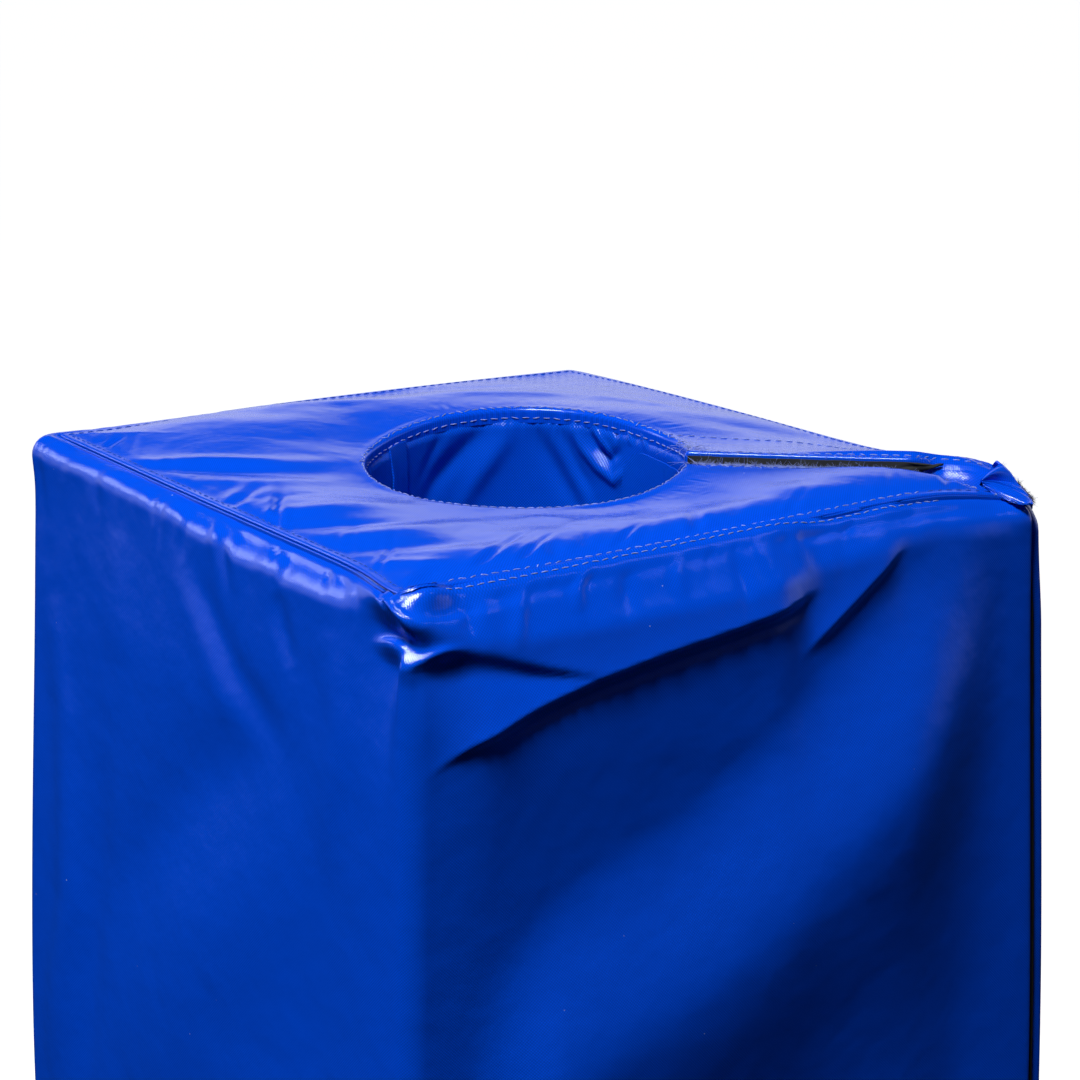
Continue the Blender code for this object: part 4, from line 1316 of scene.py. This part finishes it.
def coated_cloth(name, colour, roughness, contrast, depth):
    """Plastic-coated woven cloth: a saturated base, the weave's small dots pressed into the
    coating, faint wrinkles and specks of dust. Its gloss is blue face on and white at a graze."""
    made, tree, shader, where = new_material(name)
    plan = node(tree, "ShaderNodeUVMap", {}, uv_map="weave").outputs[0]
    parts = node(tree, "ShaderNodeSeparateXYZ", {0: plan})
    turn = 2 * math.pi / bpy.context.scene.pad_cloth.weave_pitch
    waves = [maths(tree, "COSINE", maths(tree, "MULTIPLY", parts.outputs[k], turn)) for k in (0, 1)]
    dots = maths(tree, "MULTIPLY", *waves)
    woven = mixed(
        tree, ranged(tree, dots, -1.0, 1.0), shade(colour, 1 - contrast), shade(colour, 1 + contrast)
    )
    slow = noise(tree, where, scale=9.0, detail=3.0)
    base = mixed(tree, ranged(tree, slow, 0.35, 0.7, 0.0, 0.35), woven, shade(colour, 0.88))
    spots = node(tree, "ShaderNodeTexVoronoi", {"Vector": where, "Scale": 85.0})
    speck = ranged(tree, spots.outputs["Distance"], 0.022, 0.030, 1.0, 0.0)
    sparse = ranged(tree, noise(tree, where, scale=41.0, detail=1.0), 0.56, 0.60)
    dust = maths(tree, "MULTIPLY", speck, sparse)
    scuffs = noise(tree, where, scale=60.0, detail=4.0)
    wrinkles = bumped(tree, noise(tree, where, scale=55.0, detail=3.0, roughness=0.45), 0.0006)
    fill(tree, shader, {
        "Base Color": mixed(tree, dust, base, DUST),
        "Roughness": ranged(tree, scuffs, 0.3, 0.75, roughness * 0.85, roughness * 1.25),
        "Normal": bumped(tree, dots, depth, Normal=wrinkles),
        "IOR": 1.5,
        "Specular Tint": (0.62, 0.70, 1.0, 1.0),
    })
    return made


def foam_material(name):
    """Soft foam: pale, matt, with fine cells."""
    made, tree, shader, where = new_material(name)
    grain = noise(tree, where, scale=400.0, detail=3.0)
    fill(tree, shader, {
        "Base Color": mixed(tree, grain, (0.52, 0.50, 0.44, 1.0), (0.70, 0.68, 0.61, 1.0)),
        "Roughness": 0.9,
        "Normal": bumped(tree, grain, 0.0004),
    })
    return made


def tape_material(name, colour, grain_scale):
    """Black fastening tape: a rough pile of fine fibres, with painted glints on them at random."""
    made, tree, shader, where = new_material(name)
    grain = noise(tree, where, grain_scale, detail=4.0, roughness=0.7)
    # Painted glints: where the grain is high, the black is three times lighter, as if light caught the pile.
    lit = ranged(tree, grain, 0.5, 0.85)
    fill(tree, shader, {
        "Base Color": mixed(tree, lit, (*colour, 1.0), shade(colour, 3, lift=0.012)),
        "Roughness": 0.85,
        "Normal": bumped(tree, grain, 0.0006),
        "Specular IOR Level": 0.0,
    })
    return made


def thread_material(name, colour):
    """Spun thread: matt, with an uneven tone."""
    made, tree, shader, where = new_material(name)
    tone = ranged(tree, noise(tree, where, scale=700.0), 0.35, 0.65)
    colours = (shade(colour, 0.55), (*colour, 1.0))
    fill(tree, shader, {"Base Color": mixed(tree, tone, *colours), "Roughness": 0.6})
    return made


# Colours of the dust and the threads, and colour and scale of grain of the tapes
DUST = (0.45, 0.52, 0.72, 1.0)
THREADS = {
    "thread": (0.34, 0.41, 0.88),
    "seam_thread": (0.02, 0.11, 0.62),
    "scorched_thread": (0.035, 0.020, 0.014),
}
TAPES = {"hook_tape": ((0.005, 0.005, 0.006), 900.0), "loop_tape": ((0.006, 0.006, 0.007), 500.0)}


def material(name):
    """The named finish, made when it is first asked for."""
    if name in bpy.data.materials:
        return bpy.data.materials[name]
    if name in THREADS:
        return thread_material(name, THREADS[name])
    if name in TAPES:
        return tape_material(name, *TAPES[name])
    if name == "foam":
        return foam_material(name)
    cloth = bpy.context.scene.pad_cloth
    if name == "cover_cloth":
        return coated_cloth(name, cloth.cover_colour, cloth.gloss, contrast=0.22, depth=0.000014)
    if name == "liner_cloth":
        return coated_cloth(name, cloth.liner_colour, cloth.gloss * 1.2, contrast=0.35, depth=0.00004)
    raise ValueError(name)


class PadCloth(bpy.types.PropertyGroup):
    """Colours and weave of the cloth."""

    cover_colour: bpy.props.FloatVectorProperty(
        name="Cover colour", description="Colour of the coated fabric outside",
        subtype="COLOR", size=3, min=0.0, max=1.0, default=(0.0002, 0.076, 0.80),
    )
    liner_colour: bpy.props.FloatVectorProperty(
        name="Liner colour", description="Colour of the coated fabric in the bore",
        subtype="COLOR", size=3, min=0.0, max=1.0, default=(0.0002, 0.078, 0.72),
    )
    gloss: bpy.props.FloatProperty(
        name="Roughness", description="Roughness of the coating; less is glossier",
        subtype="FACTOR", min=0.02, max=1.0, default=0.16,
    )
    weave_pitch: bpy.props.FloatProperty(
        name="Weave pitch", description="Distance between the threads under the coating",
        subtype="DISTANCE", unit="LENGTH", min=0.0003, default=0.0012,
    )


class PadSewing(bpy.types.PropertyGroup):
    """Size of the stitches."""

    pitch: bpy.props.FloatProperty(
        name="Stitch pitch", description="Distance between the middles of two stitches",
        subtype="DISTANCE", unit="LENGTH", min=0.002, default=STITCH_PITCH,
    )
    length: bpy.props.FloatProperty(
        name="Stitch length", description="Length of one visible stitch",
        subtype="DISTANCE", unit="LENGTH", min=0.001, default=STITCH_LENGTH,
    )


class PadStage(bpy.types.PropertyGroup):
    """Light and floor of the studio."""

    key_power: bpy.props.FloatProperty(
        name="Key light", description="Power of the large light above the front left",
        subtype="POWER", unit="POWER", min=0.0, default=192.0,
    )
    sky: bpy.props.FloatProperty(
        name="Horizon", description="Brightness of the pale horizon round the studio",
        min=0.0, default=1.0,
    )


def finish_piece(made, half, slot, *nodes):
    """Puts a piece on the body that carries it and hides the nodes that it stands for; the slot is not used.
    """
    if half == "flex":
        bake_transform(made)
    else:
        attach(made, half + "_half")
    if nodes:
        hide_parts(*nodes)


def add_sheet(name, half, surface, slot, cad_node, facing):
    """Makes a sheet of cloth from its outer points and their flat places, with the slot's cloth, and
    puts it in the place of its node. A third part of the surface is its normals."""
    points, uv, *normals = surface
    made = cloth_sheet(name, points, uv, material(slot + "_cloth"), FABRIC, facing, *normals)
    finish_piece(made, half, slot, cad_node)


class PAD_OT_side_cover(bpy.types.Operator):
    """Builds the cloth round the four sides, in three pieces that meet at the flexing strip"""

    bl_idname = "post_pad.side_cover"
    bl_label = "Side cover"

    def execute(self, context):
        points, normals, spans, below = side_cover_ring()
        ring = run_lengths(points[:, WEAVE_ROW])
        uv = np.stack(np.broadcast_arrays(ring[:, None], below), axis=-1)
        for half, span in spans.items():
            SEWN["side_" + half] = (points[span], normals[span])
            add_sheet(
                "side_cover_" + half, half, (points[span], uv[span], normals[span]), "cover",
                "wall_cover_" + half, facing=-1,
            )
        return {"FINISHED"}


class PAD_OT_end_panels(bpy.types.Operator):
    """Builds the top and bottom panels, with their rolled edges at the seam, the bore and the slit"""

    bl_idname = "post_pad.end_panels"
    bl_label = "End panels"

    def execute(self, context):
        for half in HALVES:
            along, across, sunk = panel_grid(half)
            relief = panel_relief(along, across, half)
            if half != "flex":
                relief = np.concatenate([np.zeros((FLANGE_COLUMNS, relief.shape[1])), relief])
                along, across, sunk = slit_edge_columns(along, across, sunk, half)
            points = world(along, across, PAD_HEIGHT - sunk, half)
            points[..., 2] += relief
            SEWN["top_" + half] = points
            SEWN["foot_" + half] = world(along, across, sunk, half)
            for end, cad_node, turned in (("top", "top_panel_", -1), ("foot", "bottom_panel_", 1)):
                add_sheet(
                    f"{end}_cloth_{half}", half, (SEWN[f"{end}_{half}"], on_axes(along, across)), "cover",
                    cad_node + half, facing=turned * SENSE[half],
                )
        return {"FINISHED"}


class PAD_OT_foam(bpy.types.Operator):
    """Builds the foam blocks inside the cover"""

    bl_idname = "post_pad.foam"
    bl_label = "Foam"

    def execute(self, context):
        for half, cad_node in zip(HALVES, ("foam_core_front", "foam_flex_web", "foam_core_rear")):
            made = block_piece("foam_" + half, foam_points(half), material("foam"))
            finish_piece(made, half, "foam", cad_node)
        return {"FINISHED"}


class PAD_OT_lining(bpy.types.Operator):
    """Builds the lining of the bore, its lap and the flap beside the slit"""

    bl_idname = "post_pad.lining"
    bl_label = "Lining"

    def execute(self, context):
        for half in HALVES:
            add_sheet(
                "lining_" + half, half, liner_grid(half), "liner",
                "liner_" + half, facing=SENSE[half],
            )
        add_sheet(
            "lining_lap", "flex", lap_grid(), "liner",
            "liner_lap", facing=1,
        )
        add_sheet(
            "slit_flap", "rear", flap_grid(), "liner",
            "bore_flap", facing=1,
        )
        return {"FINISHED"}


class PAD_OT_slit(bpy.types.Operator):
    """Builds the cloth and the fastening tapes on both sides of the slit"""

    bl_idname = "post_pad.slit"
    bl_label = "Slit cloths and tapes"

    def execute(self, context):
        for half, kind in (("front", "hook"), ("rear", "loop")):
            add_sheet(
                "slit_cloth_" + half, half, slit_cloth_grid(half), "cover",
                "slit_wall_" + half, facing=-SENSE[half],
            )
            for place, (along, height) in self.tape_parts(half).items():
                points, uv = tape_grid(half, along, height)
                finish = material(kind + "_tape")
                made = cloth_sheet(f"{kind}_strip_{place}", points, uv, finish, TAPE_BASE, -SENSE[half])
                finish_piece(made, half, kind + "_tape", f"{kind}_tape_{place}")
        return {"FINISHED"}

    def tape_parts(self, half):
        """Plan places and heights of the tape along the top, the outer edge and the foot of a wall."""
        end = slit_end(0.0) + (TAPE_REACH if half == "rear" else 0.0)
        turn = end - TAPE_WIDTH
        start = BORE_SHIFT + BORE_RADIUS + FABRIC + 2 * CLEARANCE
        run = np.linspace(0.0, 1.0, 61)[:, None]
        edge = np.linspace(turn, end, 25)[:, None]
        top = PAD_HEIGHT - SLIT_ROLL
        low = BACKING + CLEARANCE
        near = np.linspace(top - TAPE_WIDTH, top, 17)[None, :]
        foot = np.linspace(low, low + TAPE_WIDTH, 9)[None, :]
        share = np.concatenate([np.linspace(0.0, 0.94, 60), np.linspace(0.94, 1.0, 41)[1:]])[None, :]
        if half == "rear":
            slant = np.minimum(TAPE_CUT - TAPE_SLANT * (top - near), turn + TAPE_OVER)
            reach = np.maximum(slant, turn - TAPE_UNDER) - start
            rise = top - POCKET_DEPTH * 0.7 + 0 * edge
        else:
            reach = turn - CLEARANCE - start + 0 * near
            inset = np.maximum(SHOULDER_RADIUS - (end + NOSE_RADIUS - edge), 0.0)
            rise = top + CLEARANCE - SHOULDER_RADIUS + np.sqrt(SHOULDER_RADIUS**2 - inset**2)
        edge_low = low + SHOULDER_RADIUS * 0.6
        return {
            "top": (start + run * reach, near + 0 * run),
            "edge": (edge + 0 * share, edge_low + share * (rise - low - SHOULDER_RADIUS * 0.6)),
            "bottom": (start + run * (turn - CLEARANCE - start) + 0 * foot, foot + 0 * run),
        }


class PAD_OT_bunch(bpy.types.Operator):
    """Builds the bunched cloth at the top of the slit corner"""

    bl_idname = "post_pad.bunch"
    bl_label = "Corner bunch"

    def execute(self, context):
        add_sheet(
            "corner_bunch", "rear", bunch_grid(), "cover",
            "corner_fold", facing=1,
        )
        return {"FINISHED"}


class PAD_OT_stitching(bpy.types.Operator):
    """Sews the rows of stitches along the seams, the bore's rim, the slit and the flap"""

    bl_idname = "post_pad.stitching"
    bl_label = "Stitching"

    def execute(self, context):
        sewing = context.scene.pad_sewing
        self.pitch = sewing.pitch
        for half in HALVES:
            seams, pale = self.seam_lines(half)
            pale = pale + self.rim_lines(half) + self.slit_lines(half)
            for name, lines, thread, radius in (
                ("seam_stitches_", seams, "seam_thread", STITCH_RADIUS * 0.9),
                ("stitches_", pale, "thread", STITCH_RADIUS),
            ):
                made = stitch_piece(name + half, lines, material(thread), sewing.length, radius)
                finish_piece(made, half, "cover")
        return {"FINISHED"}

    def row(self, points, normals, seed, stray, pitches=1.0):
        """A row of stitches along a line, spaced by one pitch or by a share of it."""
        return spaced(points, normals, self.pitch * pitches, seed, stray)

    def panel_surface(self, end, half):
        """Points of an end panel without its flange, and their normals, upwards at both ends."""
        points = SEWN[f"{end}_{half}"][0 if half == "flex" else FLANGE_COLUMNS :]
        return points, -SENSE[half] * grid_normals(points)

    def seam_lines(self, half):
        """Rows beside the outer seams, with blue thread, and those that a pale thread pulls through
        between the front corner and the slit corner."""
        low, low_normals = self.panel_surface("foot", half)
        seams = [self.row(low[:, SEAM_ROW], -low_normals[:, SEAM_ROW], seed=2, stray=0.04)]
        points, normals = (part[:, SEAM_ROW] for part in self.panel_surface("top", half))
        if half != "front":
            return seams + [self.row(points, normals, seed=3, stray=0.04)], []
        start = int(np.argmin(np.abs(points @ np.array([1.0, -1.0, 0.0]) - PALE_END)))
        corner = FACE_COLUMNS["front"] + NOSE_COLUMNS - 6
        for first, last in ((0, start), (corner, len(points))):
            seams.append(self.row(points[first:last], normals[first:last], seed=4 + first, stray=0.04))
        pale = [self.row(points[start:corner], normals[start:corner], seed=5, stray=0.10)]
        cover, out = (part[:, UPPER_ROW:] for part in SEWN["side_front"])
        reach = profile_reach(*cover_profile())[UPPER_ROW:]
        cover, out = (part[start:corner] for part in rows_between(cover, out, reach, SIDE_ROW))
        return seams, pale + [self.row(cover, out, seed=6, stray=0.05)]

    def rim_lines(self, half):
        """Rows on the rim's roll and on the hem in the bore."""
        points, normals = self.panel_surface("top", half)
        return [
            self.row(points[:, RIM_ROW], normals[:, RIM_ROW], seed=26, stray=0.12, pitches=0.8),
            self.row(points[:, HEM_ROW], normals[:, HEM_ROW], seed=21, stray=0.05),
        ]

    def slit_lines(self, half):
        """Rows along the slit's edges, the facing behind it and the flap."""
        if half == "flex":
            return []
        up = np.array([0.0, 0.0, 1.0])
        along = np.linspace(SLIT_ROW_START, SLIT_ROW_END, 80)
        line = top_point(along, SENSE[half] * (SLIT_HALF_GAP + SLIT_ROLL + SLIT_ROW) + 0 * along, half)
        lines = [self.row(line, up + 0 * line, seed=5, stray=0.10)]
        if half == "front":
            edge = top_point(along, -(SLIT_HALF_GAP + SLIT_ROLL * 0.78) + 0 * along, half)
            lines.append(self.row(edge, up + 0 * edge, seed=9, stray=0.35, pitches=0.32))
        if half == "rear":
            path = smooth_path([(a, b, 0.0) for a, b in FACING_LINE], 60)
            line = top_point(path[:, 0], path[:, 1], half)
            lines.append(self.row(line, up + 0 * line, seed=6, stray=0.05))
            points, uv = flap_grid()
            normals = grid_normals(points)
            height = uv[FLAP_COLUMN, :, 1]
            line, facing = rows_between(points, normals, height, height[-1] - FLAP_ROW)
            lines.append(self.row(line[1:-5], facing[1:-5], seed=7, stray=0.04))
            line, facing = points[-4, 8:-8], normals[-4, 8:-8]
            lines.append(self.row(line, facing, seed=8, stray=0.04))
        return lines


# Loose threads on the top, as half, reach along and across, lift, count and length of a strand, and
# frayed fibres of the bunch, as the share of its outline they run from and to, count, length, thread
TUFTS = {
    "rim_tangle_rear": ("rear", (0.0655, 0.0790), (0.003, 0.015), 0.0006, 46, 0.006),
    "rim_tangle_front": ("front", (0.0700, 0.0800), (-0.0045, -0.0022), 0.0004, 26, 0.005),
    "slit_fibres_front": ("front", (0.076, 0.176), (-0.0035, -0.0020), 0.0003, 1500, 0.0019),
    "slit_fibres_rear": ("rear", (0.076, 0.170), (0.0020, 0.0030), 0.0002, 120, 0.0014),
}
FRAYS = {
    "bunch_fray_pale": (0.02, 0.60, 46, 0.0020, "thread"),
    "bunch_fray_dark": (0.20, 0.56, 220, 0.0013, "scorched_thread"),
}


class PAD_OT_threads(bpy.types.Operator):
    """Adds the loose threads and the frayed fibres at the cut edges"""

    bl_idname = "post_pad.threads"
    bl_label = "Threads and fibres"

    def execute(self, context):
        draw = np.random.default_rng(SEED + 20)
        for name, tuft in TUFTS.items():
            self.add_tuft(name, draw, *tuft)
        for name, fray in FRAYS.items():
            self.add_fray(name, draw, *fray)
        return {"FINISHED"}

    def add_tuft(self, name, draw, half, along, across, lift, count, length):
        """Loose strands that lie on the top panel inside a box in plan."""
        u = draw.uniform(*along, count)
        v = draw.uniform(*across, count)
        start = top_point(u, v, half)
        start[:, 2] += lift * draw.uniform(0.2, 1.0, count)
        way = draw.normal(0.0, 1.0, (count, 3)) * np.array([1.0, 1.0, 0.35])
        way[:, 2] = np.abs(way[:, 2]) + 0.15
        curl = draw.normal(0.0, 0.6, (count, 3)) - np.array([0.0, 0.0, 0.45])
        lengths = length * draw.uniform(0.4, 1.3, count)
        made = strand_piece(name, start, unit(way), curl, lengths, STRAND_RADIUS, material("thread"))
        finish_piece(made, half, "cover")

    def add_fray(self, name, draw, first, last, count, length, thread):
        """Short fibres that stand out from the bunch's outline."""
        points = bunch_grid()[0]
        rim = points[:, BUNCH_ROWS - 1]
        place = draw.uniform(first, last, count) * (BUNCH_COLUMNS - 1)
        start = placed_on(place, np.arange(BUNCH_COLUMNS), rim)
        start += draw.normal(0.0, 0.0003, start.shape)
        middle = points[BUNCH_COLUMNS // 2, BUNCH_ROWS // 2 - 1]
        way = unit(unit(start - middle) + draw.normal(0.0, 0.5, start.shape))
        curl = draw.normal(0.0, 0.5, start.shape)
        lengths = length * draw.uniform(0.3, 1.2, count)
        made = strand_piece(name, start, way, curl, lengths, FRAY_RADIUS, material(thread))
        finish_piece(made, "rear", "cover")


class PAD_OT_stage(bpy.types.Operator):
    """Sets the floor, the lights, the world and the camera"""

    bl_idname = "post_pad.stage"
    bl_label = "Stage"

    def execute(self, context):
        add_floor()
        add_world()
        add_lights()
        add_camera()
        context.scene.view_settings.view_transform = "Standard"
        return {"FINISHED"}


def add_floor():
    """A pale floor far past the camera's view."""
    reach, count = 60.0, 13
    line = np.linspace(-reach, reach, count)
    x, y = np.meshgrid(line, line, indexing="ij")
    points = np.stack([x, y, 0 * x], axis=-1).reshape(-1, 3)
    made, tree, shader, where = new_material("pale_floor")
    grain = noise(tree, where, scale=3.0, detail=3.0)
    fill(tree, shader, {
        "Base Color": mixed(tree, grain, (0.80, 0.80, 0.81, 1.0), (0.83, 0.83, 0.84, 1.0)),
        "Roughness": 0.9,
        "Emission Color": (1.0, 1.0, 1.0, 1.0),
        "Emission Strength": 0.95,
    })
    floor = link_mesh("floor", points, grid_quads(count, count), made)
    floor.visible_diffuse = False
    floor.visible_glossy = False


def add_world():
    """A bright horizon behind the pad that darkens upwards, over a dark ground that only the gloss
    sees; before the pad the horizon fades to a twentieth."""
    stage = bpy.context.scene.pad_stage
    made = bpy.data.worlds.new("studio")
    bpy.context.scene.world = made
    made.use_nodes = True
    tree = made.node_tree
    way = node(tree, "ShaderNodeTexCoord", {}).outputs["Generated"]
    rise = node(tree, "ShaderNodeSeparateXYZ", {0: way}).outputs[2]
    ramp = node(tree, "ShaderNodeValToRGB", {0: ranged(tree, rise, -1.0, 1.0)})
    stops = (
        (-1.0, (0.004, 0.016, 0.026)),
        (-0.15, (0.005, 0.022, 0.032)),
        (-0.04, (0.72, 0.74, 0.86)),
        (0.235, (0.85, 0.86, 0.93)),
        (0.32, (0.022, 0.04, 0.11)),
        (0.75, (0.004, 0.016, 0.05)),
        (1.0, (0.06, 0.08, 0.13)),
    )
    line = ramp.color_ramp
    for k, (height, colour) in enumerate(stops):
        place = (height + 1) / 2
        stop = line.elements[k] if k < 2 else line.elements.new(place)
        stop.position = place
        stop.color = (*colour, 1.0)
    to_back = {0: way, 1: (0.588, 0.809, 0.0)}
    behind = node(tree, "ShaderNodeVectorMath", to_back, operation="DOT_PRODUCT").outputs["Value"]
    strength = ranged(tree, behind, -0.25, 0.40, 0.05 * stage.sky, stage.sky)
    fill(tree, tree.nodes["Background"], {0: ramp.outputs[0], 1: strength})


def add_area_light(name, way, distance, size, power, colour):
    """A square light that faces the pad's top from a direction."""
    data = bpy.data.lights.new(name, "AREA")
    data.size = size
    data.energy = power
    data.color = colour
    made = bpy.data.objects.new(name, data)
    target = Vector((0.0, 0.0, PAD_HEIGHT - 0.1))
    way = Vector(way).normalized()
    made.location = target + way * distance
    made.rotation_euler = way.to_track_quat("Z", "Y").to_euler()
    bpy.context.scene.collection.objects.link(made)


def add_lights():
    """A large key light high above the front left, a light behind the left, and a weak fill from
    the right."""
    key_power = bpy.context.scene.pad_stage.key_power
    for name, way, distance, size, power, colour in (
        ("key_light", (-0.40, -0.23, 0.885), 4.0, 1.0, key_power, (0.95, 1.0, 0.95)),
        ("left_light", (-0.51, 0.79, 0.33), 5.0, 1.5, 34.0, (0.8, 0.85, 1.0)),
        ("right_light", (0.57, -0.49, 0.66), 5.0, 0.6, 5.0, (0.6, 0.62, 1.0)),
    ):
        add_area_light(name, way, distance, size, power, colour)


def add_camera():
    """The camera at the photograph's angle: turned 36 degrees to the pad and 14 above it."""
    azimuth, elevation = math.radians(35.96), math.radians(13.72)
    distance, sideways, lower = 1.403, 0.0091, 0.0329
    sensor, focal_pixels, frame_pixels = 36.0, 3400, 1080
    right = Vector((math.cos(azimuth), -math.sin(azimuth), 0.0))
    ahead = Vector((math.sin(azimuth), math.cos(azimuth), 0.0)) * math.cos(elevation)
    ahead.z = -math.sin(elevation)
    target = right * sideways + Vector((0.0, 0.0, PAD_HEIGHT - lower))
    data = bpy.data.cameras.new("camera")
    data.sensor_width = sensor
    data.lens = focal_pixels * sensor / frame_pixels
    data.clip_start = 0.05
    data.clip_end = 300.0
    made = bpy.data.objects.new("camera", data)
    turned = ahead.to_track_quat("-Z", "Y").to_matrix().to_4x4()
    made.matrix_world = Matrix.Translation(target - ahead * distance) @ turned
    bpy.context.scene.collection.objects.link(made)
    bpy.context.scene.camera = made


OPERATORS = (
    PAD_OT_foam,
    PAD_OT_side_cover,
    PAD_OT_end_panels,
    PAD_OT_lining,
    PAD_OT_slit,
    PAD_OT_bunch,
    PAD_OT_stitching,
    PAD_OT_threads,
    PAD_OT_stage,
)


class PAD_PT_panel(bpy.types.Panel):
    """Lists the steps that build the pad."""

    bl_idname = "PAD_PT_panel"
    bl_label = "Post pad"
    bl_space_type = "VIEW_3D"
    bl_region_type = "UI"
    bl_category = "Post pad"

    def draw(self, context):
        for step in OPERATORS:
            self.layout.operator(step.bl_idname)


CLASSES = (PadCloth, PadSewing, PadStage, *OPERATORS, PAD_PT_panel)


def register():
    """Registers the classes and hangs the settings on the scene."""
    for item in CLASSES:
        bpy.utils.register_class(item)
    bpy.types.Scene.pad_cloth = bpy.props.PointerProperty(type=PadCloth)
    bpy.types.Scene.pad_sewing = bpy.props.PointerProperty(type=PadSewing)
    bpy.types.Scene.pad_stage = bpy.props.PointerProperty(type=PadStage)


def unregister():
    """Takes the settings and the classes away again."""
    del bpy.types.Scene.pad_stage
    del bpy.types.Scene.pad_sewing
    del bpy.types.Scene.pad_cloth
    for item in reversed(CLASSES):
        bpy.utils.unregister_class(item)


def main():
    """Builds every piece."""
    register()
    for step in OPERATORS:
        group, name = step.bl_idname.split(".")
        getattr(getattr(bpy.ops, group), name)()


if __name__ == "__main__":
    main()
